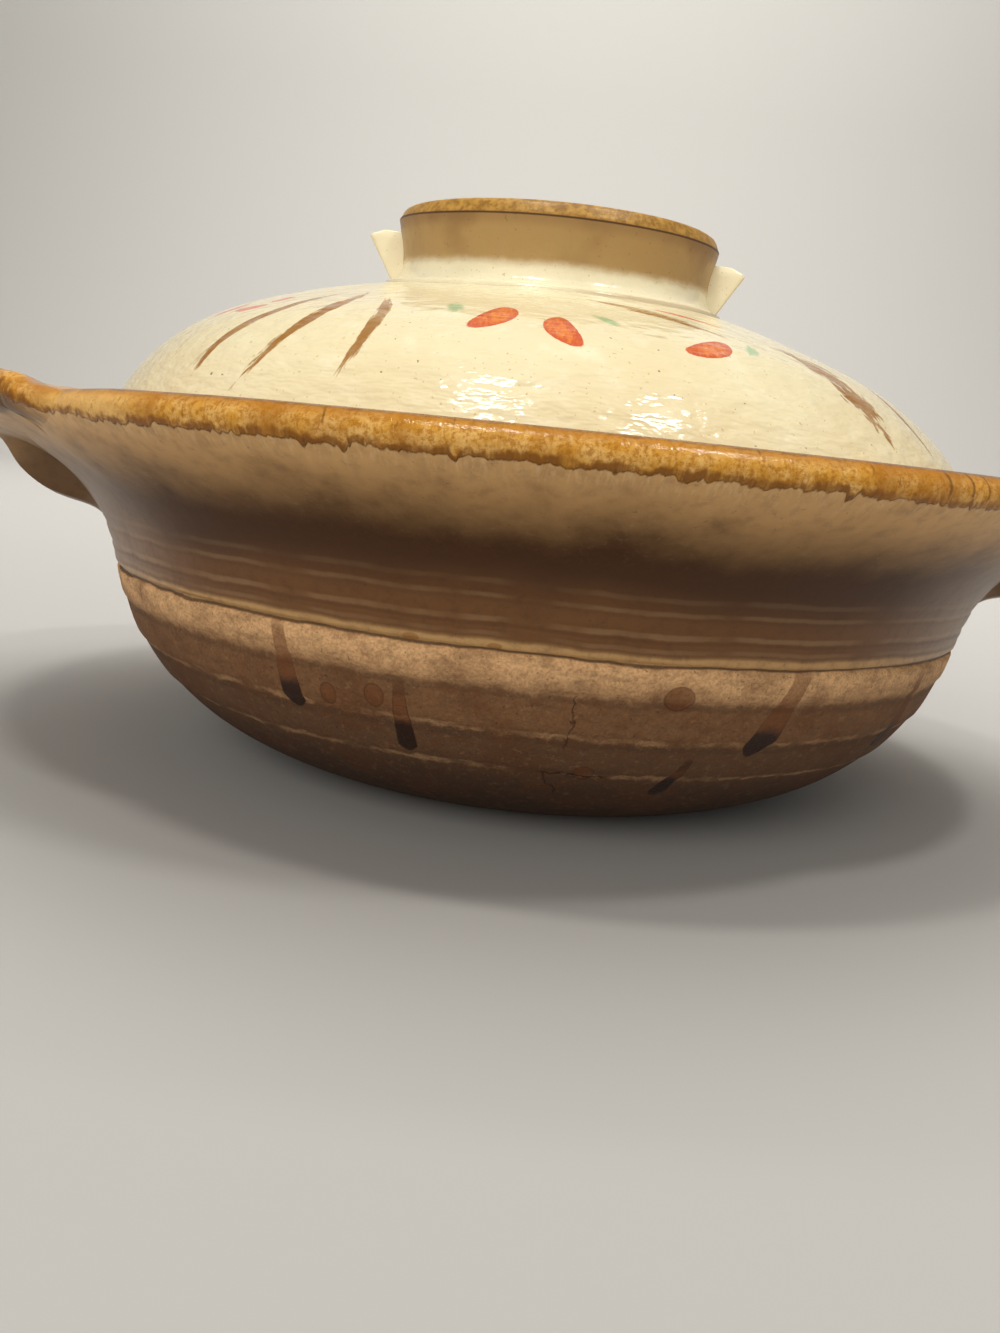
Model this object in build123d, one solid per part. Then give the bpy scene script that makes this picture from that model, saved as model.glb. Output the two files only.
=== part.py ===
from build123d import *
import os
from math import asin, atan2, cos, degrees, hypot, radians, sin

os.makedirs("parts", exist_ok=True)

# A donabe: a thrown clay pot with two luted lugs, and a domed lid with a ring knob.
# Millimetres, +Z up. The origin is on the table under the pot's axis, and the lugs lie on X.

# Lid and the seat that it sets
lid_radius = 109.2  # outer edge of the lid
lid_slack = 3.3  # room round the lid in its gallery, all round
lid_rest_share = 0.85  # of that slack, how far the lid has settled towards the left lug
lid_height = 56.5  # from the seat to the crown of the dome
lid_lip = 10.0  # height of the upright edge
lid_wall = 6.7
lip_round = 2.2  # soft lower edge of the lip
seat_land = 8.2  # width of the lip's flat underside

# Pot body
pot_height = 84.0  # table to the crest of the rim
gallery_depth = 16.5  # crest of the rim to the lid's seat
collar_spread = 19.3  # how far the collar leans out, from the gallery to the rim's crest
rim_roll = 3.6  # radius of the rolled rim
collar_wall = 6.6
pot_wall = 7.6
pot_floor = 8.8
gallery_round = 3.0  # soft corner where the collar rises
mouth_round = 2.4  # soft edge of the seat
base_radius = 60.0
foot_width = 8.0  # flat ring that stands on the table
base_hollow = 1.5  # depth of the recess inside that ring
groove_drop = 39.5  # crest of the rim to the incised groove
groove_depth = 0.9
groove_gap = 1.1  # half the groove's width
ridge_depth = 0.35  # throwing lines above the groove
ridge_gap = 0.9

# Lugs
lug_half_angle = 49.8  # degrees of the rim, from a lug's middle to its root's end
lug_reach = 16.4  # beyond the rim
lug_rise = 4.6  # above the rim
lug_dip = 1.4  # how far the top edge dips in the middle, for a thumb
lug_roll = 6.5  # half the thickness of the rolled outer edge
lug_depth = 24.5  # crest of the rim to the foot of the root
lug_root_skin = 8.2  # the same at the root's ends
lug_embed = 1.3  # how far the root's ends sink below the skin

# Ring knob
knob_radius = 41.4  # at its upper edge
knob_waist = 1.6  # how far the wall draws in below that edge
knob_flare = 2.6  # how far the foot stands out past the edge
knob_height = 18.0  # foot to top
knob_band = 2.4  # glazed band above the edge
knob_wall = 6.6
knob_round = 1.3

# Ears on the knob
ear_reach = 7.0  # beyond the knob's edge
ear_drop = 5.3  # top of the knob to the top of an ear
ear_chamfer = 1.7  # slope of an ear's upper edge
ear_root_half = 8.5  # half length along the wall, at its foot
ear_top_half = 7.0
ear_softness = 0.7

# Steam hole, at the back of the dome
steam_radius = 4.0
steam_ring = 66.0  # from the lid's axis

# Shapes of the curves, as shares of the sizes that they run between
bowl_shares = ((0.49, 0.11), (0.92, 0.48))
hollow_shares = ((0.97, 0.49), (0.79, 0.045))
floor_share = 0.52
dome_shares = ((0.50, 1.0), (0.907, 0.635))
vault_shares = ((0.50, 1.0), (0.915, 0.60))
cove_lean = 66.0  # degrees below level, from the gallery's corner to the cove
bead_start = -40.0  # degrees round the rolled rim
neck_slope_share = 0.22
ridge_shares = (0.23, 0.37)
chin_shares = (0.58, 0.31)
scoop_shares = (0.71, 0.70)
saddle_share = 0.38
swell_share = 0.9
crest_share = 0.6
root_share = 0.8
lug_end_share = 0.995  # of the half angle, where the first and last sections stand
dip_share = 0.56
waist_share = 0.40
ear_bite_share = 0.75  # of the knob's wall, how far an ear's outline reaches in before it is cut

gallery_radius = lid_radius + lid_slack
seat_inner = lid_radius - seat_land
mouth_radius = seat_inner
seat_z = pot_height - gallery_depth
rim_radius = gallery_radius + collar_spread
bead_z = pot_height - rim_roll
belly_radius = mouth_radius + pot_wall
groove_z = pot_height - groove_drop
lid_shift = lid_slack * lid_rest_share
crown_z = seat_z + lid_height


def at(radius, height):
    """A point of the upright profile through the axis."""
    return Vector(radius, 0, height)


def between(start, end, shares):
    """The point that lies the given shares of the way from start to end, across and up."""
    across, up = shares
    return at(start.X + across * (end.X - start.X), start.Z + up * (end.Z - start.Z))


def turned(*edges):
    """Solid of revolution from the closed half profile of the edges, its seam at the back."""
    return revolve(Face(Wire(edges)), Axis.Z).rotate(Axis.Z, 90)


def ring_cut(place, depth, gap):
    """A V-shaped groove round the wall at a place on its outline."""
    lip = 2 * depth
    outline = Polyline(
        at(place.X - depth, place.Z), at(place.X + lip, place.Z - 3 * gap),
        at(place.X + lip, place.Z + 3 * gap), close=True,
    )
    return turned(*outline.edges())


def bead_point(angle):
    """Point of the rolled rim, by its angle round the roll."""
    return at(rim_radius + rim_roll * cos(radians(angle)), bead_z + rim_roll * sin(radians(angle)))


belly = at(belly_radius, groove_z)
gallery_corner = at(gallery_radius, seat_z)
cove = gallery_corner + collar_wall * at(cos(radians(cove_lean)), -sin(radians(cove_lean)))
collar_run = hypot(collar_spread, bead_z - seat_z)
collar_angle = degrees(atan2(bead_z - seat_z, collar_spread) + asin(rim_roll / collar_run))


def neck_curve():
    """Outer wall from the groove, through the cove under the collar, to the rolled rim."""
    return Spline(
        belly, cove, bead_point(bead_start),
        tangents=(at(neck_slope_share, 1), -bead_tangent(bead_start)),
    )


def bead_tangent(angle):
    """Direction of the rolled rim's outline at an angle, running down the outside."""
    return at(sin(radians(angle)), -cos(radians(angle)))


def bowl_curve():
    """Outer wall from the table up to the groove."""
    foot = at(base_radius, 0)
    first, second = (between(foot, belly, share) for share in bowl_shares)
    return Bezier(foot, first, second, belly)


def pot_solid():
    """The thrown body: recessed base, bowl, gallery for the lid, leaning collar and rolled rim."""
    collar_top = bead_point(collar_angle + 90)
    seat_edge = at(mouth_radius, seat_z)
    spring = at(mouth_radius, groove_z)
    floor_edge = at(mouth_radius * floor_share, pot_floor)
    hollow_foot = at(0, pot_floor)
    first, second = (between(hollow_foot, spring, share) for share in hollow_shares)
    inner_wall = FilletPolyline(
        collar_top, gallery_corner, seat_edge, spring, radius=(gallery_round, mouth_round)
    )
    body = turned(
        *Polyline(
            at(0, pot_floor), at(0, base_hollow), at(base_radius - foot_width - base_hollow, base_hollow),
            at(base_radius - foot_width, 0), at(base_radius, 0),
        ).edges(),
        bowl_curve(),
        neck_curve(),
        ThreePointArc(bead_point(bead_start), bead_point(0), collar_top),
        *inner_wall.edges(),
        Bezier(spring, first, second, floor_edge),
        Line(floor_edge, hollow_foot),
    )
    body -= ring_cut(belly, groove_depth, groove_gap)
    for share in ridge_shares:
        body -= ring_cut(neck_curve() @ share, ridge_depth, ridge_gap)
    return body


def swell(turn, share=swell_share):
    """How far a lug has grown out of the rim: 0 at the root's ends, 1 in its middle."""
    return (1 - (turn / lug_half_angle) ** 2) ** share


def lug_crest(turn):
    """Height of a lug's top edge above the rim, with a shallow dip in the middle."""
    dip = max(0, 1 - (turn / (dip_share * lug_half_angle)) ** 2) ** 2
    return lug_rise * swell(turn, crest_share) - lug_dip * dip - lug_embed * (1 - swell(turn))


def root_depth(turn):
    """Crest of the rim to the foot of the root, which climbs towards the root's ends."""
    run = min((1 - abs(turn) / lug_half_angle) / root_share, 1)
    return lug_root_skin + (lug_depth - lug_root_skin) * run * run * (3 - 2 * run)


def wall_middle(height):
    """Point halfway through the pot's wall at a height, where a lug's root is closed off."""
    bend = gallery_corner + (cove - gallery_corner) * 0.5
    if height > bend.Z:
        share = (height - bend.Z) / (bead_z - bend.Z)
        return at(bend.X + share * (rim_radius - bend.X), height)
    share = (bend.Z - height) / (bend.Z - groove_z)
    return at(bend.X + share * (belly_radius - pot_wall / 2 - bend.X), height)


def lug_section(turn):
    """Closed outline of a lug in the upright plane turned from its middle by some degrees."""
    grown = swell(turn)
    roll = (rim_roll - lug_embed) * (1 - grown) + lug_roll * grown
    roll_r = rim_radius + (rim_roll + lug_reach) * grown + (rim_roll - lug_embed) * (1 - grown) - roll
    roll_z = pot_height + lug_crest(turn) - roll
    foot_z = pot_height - root_depth(turn)
    foot = wall_middle(foot_z) + at(pot_wall / 4, 0)
    under = at(roll_r, roll_z - roll)
    saddle = at(
        rim_radius - rim_roll / 3 * (1 - grown) + saddle_share * (roll_r - rim_radius),
        pot_height + (1 - saddle_share) * lug_crest(turn) - lug_embed * (1 - grown),
    )
    tops = [at(roll_r + roll * cos(radians(a)), roll_z + roll * sin(radians(a))) for a in (90, 45, 0, -50)]
    heights = [foot_z + share * (bead_z - foot_z) for share in (1 / 4, 1 / 2, 3 / 4, 1)]
    inner = [wall_middle(height) - at(rim_roll / 2, 0) for height in heights]
    points = [*tops, between(foot, under, scoop_shares), between(foot, under, chin_shares), foot, *inner, saddle]
    return Plane.XY.rotated((0, 0, turn)).location * Face(Wire(Spline(*points, periodic=True)))


def lug(pot):
    """A lug on +X, lofted round the rim and cut to seat on the pot's wall."""
    steps = 6
    last = lug_half_angle * lug_end_share
    turns = [last * sin(radians(90 * step / steps)) for step in range(-steps, steps + 1)]
    return loft([lug_section(turn) for turn in turns]) - pot


def dome_curve():
    """Outer surface of the dome, from its crown down to the upright lip."""
    lip_top = at(lid_radius, seat_z + lid_lip)
    first, second = (between(at(0, lip_top.Z), at(lid_radius, crown_z), share) for share in dome_shares)
    return Bezier(at(0, crown_z), first, second, lip_top)


def dome_height(radius):
    """Height of the dome's outer surface at a distance from its axis, by halving."""
    curve = dome_curve()
    low, high = 0, 1
    for _ in range(30):
        middle = (low + high) / 2
        if (curve @ middle).X < radius:
            low = middle
        else:
            high = middle
    return (curve @ low).Z


def lid_solid():
    """The lid's shell: dome, upright lip, flat seating ring, vault and steam hole."""
    lip_top = at(lid_radius, seat_z + lid_lip)
    crown = at(0, crown_z)
    vault_top = at(0, crown_z - lid_wall)
    vault_foot = at(seat_inner, seat_z + lip_round)
    inner_corner = at(vault_foot.X, vault_top.Z)
    first, second = (between(at(0, vault_foot.Z), inner_corner, share) for share in vault_shares)
    lip = FilletPolyline(
        lip_top, at(lid_radius, seat_z), at(seat_inner, seat_z), vault_foot, radius=(lip_round, lip_round / 2)
    )
    shell = turned(
        Line(vault_top, crown), dome_curve(), *lip.edges(),
        Bezier(vault_foot, second, first, vault_top),
    )
    hole = Cylinder(steam_radius, 4 * lid_wall)
    return shell - Pos(0, steam_ring, dome_height(steam_ring)) * hole


knob_foot_z = dome_height(knob_radius)
knob_top_z = knob_foot_z + knob_height


def knob_solid(dome):
    """The ring knob: flared foot, drawn-in wall, crisp edge and glazed band, hollow in the middle."""
    sunk = knob_foot_z - lid_wall / 2
    edge = at(knob_radius, knob_top_z - knob_band)
    foot = at(knob_radius + knob_flare, knob_foot_z)
    waist = at(knob_radius - knob_waist, foot.Z + waist_share * (edge.Z - foot.Z))
    inner = knob_radius - knob_wall
    wall = Spline(foot, waist, edge)
    outline = [
        wall, *Polyline(
            edge, at(knob_radius - knob_round, knob_top_z), at(inner, knob_top_z),
            at(inner - knob_round, sunk), at(foot.X, sunk), foot,
        ).edges(),
    ]
    ring = turned(*outline)
    return fillet(ring.edges().group_by(Axis.Z)[-1], knob_round) - dome


def ear(dome, ring):
    """An ear on +X: a leaning tab, longer at its foot, seated on the knob's wall and on the dome."""
    inner = knob_radius - ear_bite_share * knob_wall
    foot_z = knob_foot_z - lid_wall / 4
    top_z = knob_top_z - ear_drop
    sections = (
        (foot_z, knob_radius - knob_waist / 2, ear_root_half),
        (top_z - ear_chamfer, knob_radius + ear_reach, ear_top_half),
        (top_z, knob_radius + ear_reach / 2, ear_top_half - ear_chamfer / 2),
    )
    faces = []
    for height, outer, half in sections:
        corners = ((inner, -half), (outer, -half), (outer, half), (inner, half))
        faces.append(Face(Wire(Polyline(*[(x, y, height) for x, y in corners], close=True).edges())))
    tab = loft(faces, ruled=True)
    outer_edges = [e for e in tab.edges() if e.center().X > knob_radius]
    return fillet(outer_edges, ear_softness) - ring - dome


pot_body = pot_solid()
handle_right = lug(pot_body)
handle_left = handle_right.rotate(Axis.Z, 180)
dome = lid_solid()
ring = knob_solid(dome)
ear_right = ear(dome, ring)
ear_left = ear_right.rotate(Axis.Z, 180)
settled = Pos(-lid_shift, 0, 0)

nodes = {
    "pot_body": pot_body,
    "handle_left": handle_left,
    "handle_right": handle_right,
    "lid_dome": settled * dome,
    "knob_ring": settled * ring,
    "knob_ear_left": settled * ear_left,
    "knob_ear_right": settled * ear_right,
}
for name, solid in nodes.items():
    export_step(solid, f"parts/{name}.step")
    print(name, round(solid.volume), solid.is_valid, len(solid.solids()))
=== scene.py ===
"""Dresses a packed donabe: a thrown clay pot with two lugs, and a domed lid with a ring knob and two ears."""

from types import SimpleNamespace

import bpy
import numpy as np
from mathutils import Matrix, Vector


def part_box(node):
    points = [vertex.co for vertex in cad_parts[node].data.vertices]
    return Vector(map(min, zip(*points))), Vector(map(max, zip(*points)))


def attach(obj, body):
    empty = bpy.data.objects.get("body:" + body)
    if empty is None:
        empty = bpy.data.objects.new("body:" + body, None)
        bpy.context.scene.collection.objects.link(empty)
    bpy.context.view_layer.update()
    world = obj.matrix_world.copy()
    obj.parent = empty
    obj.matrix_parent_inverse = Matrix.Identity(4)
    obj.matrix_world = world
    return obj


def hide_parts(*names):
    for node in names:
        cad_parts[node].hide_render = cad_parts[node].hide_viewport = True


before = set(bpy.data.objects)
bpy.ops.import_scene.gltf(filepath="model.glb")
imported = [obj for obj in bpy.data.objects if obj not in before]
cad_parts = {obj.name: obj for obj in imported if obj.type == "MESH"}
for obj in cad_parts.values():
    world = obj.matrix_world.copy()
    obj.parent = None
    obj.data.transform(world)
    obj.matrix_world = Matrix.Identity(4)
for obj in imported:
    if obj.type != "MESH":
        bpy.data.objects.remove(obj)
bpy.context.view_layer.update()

bl_info = {
    "name": "Donabe clay pot",
    "version": (1, 0, 0),
    "blender": (4, 5, 0),
    "location": "3D View > Sidebar > Donabe",
    "description": "Glazed and bare clay surfaces for a donabe and its lid",
    "category": "Object",
}

POT_TOP = float(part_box("pot_body")[1][2])
RIM_OUTER = float(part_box("pot_body")[1][0])
LID_LOW, LID_HIGH = (np.array(corner, float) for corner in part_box("lid_dome"))
LID_EDGE = float(LID_HIGH[1])
LID_X = float(LID_LOW[0] + LID_HIGH[0]) / 2
KNOB_TOP = float(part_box("knob_ring")[1][2])
LUG_OUTER = float(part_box("handle_right")[1][0])

DEGREES = 57.2958  # in a radian
POT_COLUMNS, LID_COLUMNS, KNOB_COLUMNS, EAR_COLUMNS = 316, 340, 256, 88  # Points round each mesh
LUG_RINGS, LUG_RING, LUG_PIECE = 175, 104, 16  # Sections of a lug, points to a section and to a piece of its spline
LUG_HALF, LUG_SINK = 49.8, 1.3  # Degrees from a lug's middle to its end, and millimetres that it has sunk there
LUG_END_DEPTH = 8.2  # Crest of the rim to a lug's foot at its ends, in millimetres
LEFT_RISE, RIGHT_SINK = 1.6, 2.1  # Millimetres that the dome's left shoulder stands high and its right one low
EAR_SQUARE = 11  # Exponent of an ear's plan: 2 is an ellipse, more is squarer
ROLL_DROP, SEAT_DROP, GROOVE_DROP = 5.7, 16.5, 39.5  # Where finishes put a lug's underside, the seat and the groove
NOISE_RING = 131  # Radius in millimetres of the circle on which noises round the pot are drawn
FLOOR_HALF, BEND_START, BEND_RADIUS, WALL_TOP = 3000, 1500, 900, 3600  # The floor and its backdrop, in millimetres
CAMERA_SPOT, FOCAL_PIXELS, PHOTO_HEIGHT, SENSOR = (0.0, -0.302033, 0.078622), 1100, 1333, 36


def paint(red, green, blue):
    """Linear colour of a display colour that is given from 0 to 255."""
    share = np.array((red, green, blue)) / 255
    return tuple(float(v) for v in np.where(share <= 0.04045, share / 12.92, ((share + 0.055) / 1.055) ** 2.4))


def length(name, description, default):
    """A length in metres that a user may change."""
    return bpy.props.FloatProperty(name=name, description=description, default=default, unit="LENGTH", precision=4)


def colour(name, description, *display):
    """A colour that a user may change, given as a display colour."""
    return bpy.props.FloatVectorProperty(
        name=name, description=description, default=paint(*display), subtype="COLOR", size=3, min=0, max=1)


def power(name, description, default):
    """The power of a lamp in watts."""
    return bpy.props.FloatProperty(name=name, description=description, default=default, unit="POWER")


def angle(name, description, default):
    """An angle in radians."""
    return bpy.props.FloatProperty(name=name, description=description, default=default, subtype="ANGLE")


class DonabeSizes(bpy.types.PropertyGroup):
    """Sizes of the pot and the lid."""

    rim_height: length("Rim height", "Table to the crest of the rim", POT_TOP)
    rim_radius: length("Rim radius", "Axis to the middle of the rolled rim", RIM_OUTER - 0.0036)
    rim_roll: length("Rim roll", "Radius of the rolled rim", 0.0036)
    gallery_depth: length("Gallery depth", "Crest of the rim to the seat of the lid", 0.0165)
    gallery_radius: length("Gallery radius", "Axis to the corner where the collar rises", 0.1125)
    collar_wall: length("Collar wall", "Thickness of the leaning collar", 0.0066)
    mouth_radius: length("Mouth radius", "Axis to the inner edge of the seat", 0.101)
    pot_wall: length("Pot wall", "Thickness of the wall below the gallery", 0.0076)
    pot_floor: length("Pot floor", "Thickness of the floor", 0.0088)
    base_radius: length("Base radius", "Axis to the outer edge of the foot", 0.06)
    foot_width: length("Foot width", "Flat ring that the pot stands on", 0.008)
    base_hollow: length("Base hollow", "Depth of the recess inside the foot", 0.0015)
    groove_drop: length("Groove", "Crest of the rim down to the incised groove", 0.0395)
    rim_dip: length("Rim dip", "How far the thrown rim sags beside the left lug", 0.0011)
    lug_reach: length("Lug reach", "How far a lug stands out beyond the rim", LUG_OUTER - RIM_OUTER)
    lug_rise: length("Lug rise", "How far a lug climbs above the rim", 0.0046)
    lug_dip: length("Lug dip", "How far a lug's top edge dips in its middle", 0.0014)
    lug_roll: length("Lug roll", "Half the thickness of a lug's rolled edge", 0.0065)
    lug_depth: length("Lug depth", "Crest of the rim to the foot of a lug", 0.0245)
    lug_fillet: length("Lug fillet", "How far the smeared clay spreads where a lug meets the wall", 0.0075)
    lid_radius: length("Lid radius", "Axis to the outer edge of the lid", LID_EDGE)
    lid_height: length("Lid height", "Seat to the crown of the dome", float(LID_HIGH[2] - LID_LOW[2]))
    lid_lip: length("Lid lip", "Height of the upright edge", 0.01)
    lid_wall: length("Lid wall", "Thickness of the dome", 0.0067)
    seat_land: length("Seat land", "Width of the flat under the lid's edge", 0.0082)
    steam_radius: length("Steam hole", "Radius of the steam hole", 0.004)
    steam_ring: length("Steam hole place", "Lid's axis to the steam hole", 0.066)
    knob_radius: length("Knob radius", "Lid's axis to the knob's crisp edge", 0.0414)
    knob_waist: length("Knob waist", "How far the knob's wall draws in below its edge", 0.0016)
    knob_wall: length("Knob wall", "Thickness of the ring knob", 0.0066)
    knob_band: length("Knob band", "Height of the glazed band over the edge", 0.0024)
    ear_reach: length("Ear reach", "How far an ear stands out beyond the knob's edge", 0.007)
    ear_drop: length("Ear drop", "Top of the knob to the top of an ear", 0.0053)
    lid_lean: length("Lid lean", "How far the front of the dome and knob has sunk in the making", 0.0033)


class DonabeColours(bpy.types.PropertyGroup):
    """Colours of the glazes, the clay and the brushwork."""

    amber_pale: colour("Pale amber", "Glaze of the rim where it is thinnest", 228, 180, 104)
    amber: colour("Amber glaze", "Glaze of the rim", 208, 150, 58)
    amber_deep: colour("Deep amber", "Patches in the glaze of the rim", 166, 104, 14)
    amber_pool: colour("Pooled amber", "Lower edge of the rim's glaze, where it has pooled", 130, 76, 0)
    amber_dark: colour("Iron streaks", "Dark strokes in the rim's glaze", 74, 40, 14)
    greige: colour("Ash glaze", "Glaze under the rim", 206, 160, 104)
    feather: colour("Feathered ash", "Light feathery strokes under the rim's glaze", 230, 196, 148)
    # Umber: the glaze's own brown, which also serves as painted shade where the rim overhangs the hollow of the
    # neck
    umber: colour("Thin ash glaze", "Glaze in the hollow of the neck", 72, 42, 16)
    bistre: colour("Lower neck", "Glaze below the hollow of the neck", 112, 73, 38)
    sand: colour("Glaze over the groove", "Glaze at the foot of the neck", 190, 148, 96)
    # Painted sheen: a grey laid into the glaze at the pot's sides and back, where the bright room would show in it
    # at grazing angles
    sheen_grey: colour("Grey bloom", "Greyer glaze near the lugs", 174, 148, 128)
    groove: colour("Groove", "Dark line of the incised groove", 62, 42, 28)
    clay_light: colour("Light clay", "Band of bare clay under the groove", 238, 188, 134)
    clay: colour("Clay", "Bare clay of the bowl", 100, 61, 33)
    # Darker clay of the lower band and of bristle marks, also used as painted shade near the table
    dark_clay_and_shade: colour("Smoked clay", "Bare clay near the table", 76, 55, 41)
    run_thin: colour("Thin runs", "Glaze that ran down over the clay, where it is thin", 108, 58, 26)
    run: colour("Runs", "Lower ends of those runs", 38, 19, 11)
    inside: colour("Cavity glaze", "Glaze inside the pot", 196, 168, 128)
    cream: colour("Cream glaze", "Glaze of the lid", 229, 216, 176)
    cream_warm: colour("Warm cream", "Clouds in the lid's glaze", 222, 200, 154)
    tan: colour("Tan wash", "Wash on the wall of the knob", 182, 148, 92)
    brush_brown: colour("Brown brush", "Brown strokes on the lid", 150, 96, 10)
    brush_red: colour("Red brush", "Orange red strokes on the lid", 198, 70, 2)
    brush_orange: colour("Orange brush", "Lighter middle of those strokes", 222, 116, 18)
    brush_green: colour("Green brush", "Green dabs on the lid", 112, 170, 118)
    brush_pink: colour("Pink brush", "Pink strokes on the lid", 218, 92, 72)


class DonabeStage(bpy.types.PropertyGroup):
    """Floor, light and camera."""

    floor: colour("Floor", "Plain pale floor and backdrop", 178, 176, 172)
    lamp: power("Lamp", "Power of the light overhead", 8)
    spark: power("Spark", "Power of each lamp that the glaze mirrors", 4)
    front: power("Front", "Power of the soft light from the front", 25)
    wall: power("Wall", "Power of the light on the backdrop", 47)
    sky: bpy.props.FloatProperty(name="Sky", description="Brightness of the room", default=0.33, min=0)
    pitch: angle("Pitch", "How far the camera looks down", 0.1867)
    yaw: angle("Yaw", "How far the camera looks aside", 0.0225)
    roll: angle("Roll", "How far the camera leans", 0.1021)


# Curves, as rows of radius and height in millimetres


def mm(value):
    """Millimetres of a length in metres."""
    return 1000 * value


def millimetres(sizes):
    """The sizes by name in millimetres, with the height of the lid's seat."""
    size = SimpleNamespace(**{key: mm(getattr(sizes, key)) for key in DonabeSizes.__annotations__})
    size.seat = size.rim_height - size.gallery_depth
    return size


def smooth(value, low, high):
    """Smooth step from 0 at low to 1 at high."""
    share = np.clip((value - low) / (high - low), 0, 1)
    return share * share * (3 - 2 * share)


def bezier(start, first, second, end, count=120):
    """Cubic Bezier curve: the cubic Bernstein blend of its four points."""
    t = np.linspace(0, 1, count)[:, None]
    start, first, second, end = (np.asarray(point, float) for point in (start, first, second, end))
    return (1 - t) ** 3 * start + 3 * t * (1 - t) ** 2 * first + 3 * t * t * (1 - t) * second + t ** 3 * end


def unit(vectors):
    """Vectors scaled to the length 1."""
    return vectors / np.linalg.norm(vectors, axis=-1, keepdims=True)


def read_off(at, far, points):
    """Points that are known at the distances far, read off at other distances."""
    return np.stack([np.interp(at, far, column) for column in np.transpose(points)], axis=-1)


def between(start, end, across, up):
    """The point that lies the given shares of the way from start to end, across and up."""
    return np.array((start[0] + across * (end[0] - start[0]), start[1] + up * (end[1] - start[1])))


def hermite(points, slopes, gaps, count):
    """Points of a piecewise cubic from its knots, the slopes there and the knots' spacing, count to a piece."""
    t = np.arange(count)[:, None] / count
    start, end = points[..., :-1, None, :], points[..., 1:, None, :]
    leave, arrive = (slopes * 1.0)[..., :-1, None, :], slopes[..., 1:, None, :]
    gap = gaps[..., :, None, None]
    rise = (2 * t ** 3 - 3 * t ** 2 + 1) * start + (3 * t ** 2 - 2 * t ** 3) * end
    swing = (t ** 3 - 2 * t ** 2 + t) * leave + (t ** 3 - t ** 2) * arrive
    curve = rise + gap * swing
    return curve.reshape(*curve.shape[:-3], -1, 2)


def clamped_spline(points, leave, arrive, count=60):
    """Smooth curve through three points with unit slopes at its ends and no kink in curvature at the middle one."""
    points = np.asarray(points, float)
    gaps = np.linalg.norm(np.diff(points, axis=0), axis=1)
    ends = [unit(np.asarray(v, float)) for v in (leave, arrive)]
    pull = 3 * ((points[1] - points[0]) / gaps[0] ** 2 + (points[2] - points[1]) / gaps[1] ** 2)
    middle = (pull - ends[0] / gaps[0] - ends[1] / gaps[1]) / (2 / gaps[0] + 2 / gaps[1])
    return np.vstack([hermite(points, np.array([ends[0], middle, ends[1]]), gaps, count), points[-1:]])


def closed_splines(points, count):
    """Smooth closed curves through the points, one curve for each row, with continuous curvature all round."""
    ahead, behind = np.roll(points, -1, axis=1) - points, points - np.roll(points, 1, axis=1)
    gap = np.linalg.norm(ahead, axis=2)
    last = np.roll(gap, 1, axis=1)
    order = np.arange(points.shape[1])
    system = np.zeros((*gap.shape, gap.shape[1]))
    system[:, order, order] = 2 / last + 2 / gap
    system[:, order, order - 1] = 1 / last
    system[:, order, (order + 1) % len(order)] = 1 / gap
    pull = 3 * (behind / last[..., None] ** 2 + ahead / gap[..., None] ** 2)
    slopes = np.linalg.solve(system, pull)
    wrap = [np.concatenate([value, value[:, :1]], axis=1) for value in (points, slopes)]
    return hermite(*wrap, gap, count)


def arc(centre, radius, start, end, count=24):
    """Circular arc between two angles in degrees."""
    turn = np.radians(np.linspace(start, end, count))[:, None]
    return np.asarray(centre) + radius * np.hstack([np.cos(turn), np.sin(turn)])


def rounded(points, radii, count=9):
    """Run of straight lines whose inner corners are replaced by arcs of the given radii."""
    points = np.asarray(points, float)
    out = [points[:1]]
    for before, corner, after, radius in zip(points, points[1:], points[2:], radii):
        back, forth = (unit(p - corner) for p in (before, after))
        half = np.arccos(np.clip(back @ forth, -1, 1)) / 2
        middle = corner + unit(back + forth) * radius / np.sin(half)
        first, last = (corner + side * radius / np.tan(half) - middle for side in (back, forth))
        share = np.linspace(0, 1, count)[:, None]
        wide = np.pi - 2 * half
        out.append(middle + (np.sin((1 - share) * wide) * first + np.sin(share * wide) * last) / np.sin(wide))
    return np.vstack([*out, points[-1:]])


def lengths(points):
    """Distance along a run of points."""
    return np.concatenate([[0], np.cumsum(np.linalg.norm(np.diff(points, axis=0), axis=1))])


def spaced(points, spacing):
    """The run of points again, with the given spacing, which may change along it."""
    far = lengths(points)
    wide = np.broadcast_to(spacing, far.shape)
    dense = np.concatenate([[0], np.cumsum(np.diff(far) / ((wide[1:] + wide[:-1]) / 2))])
    wanted = np.linspace(0, dense[-1], max(2, int(np.ceil(dense[-1])) + 1))
    return read_off(np.interp(wanted, dense, far), far, points)


def joined(*runs):
    """One run of points from several that follow each other, without the shared ends."""
    return np.vstack([run[:-1] for run in runs[:-1]] + [runs[-1]])


# Meshes


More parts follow.
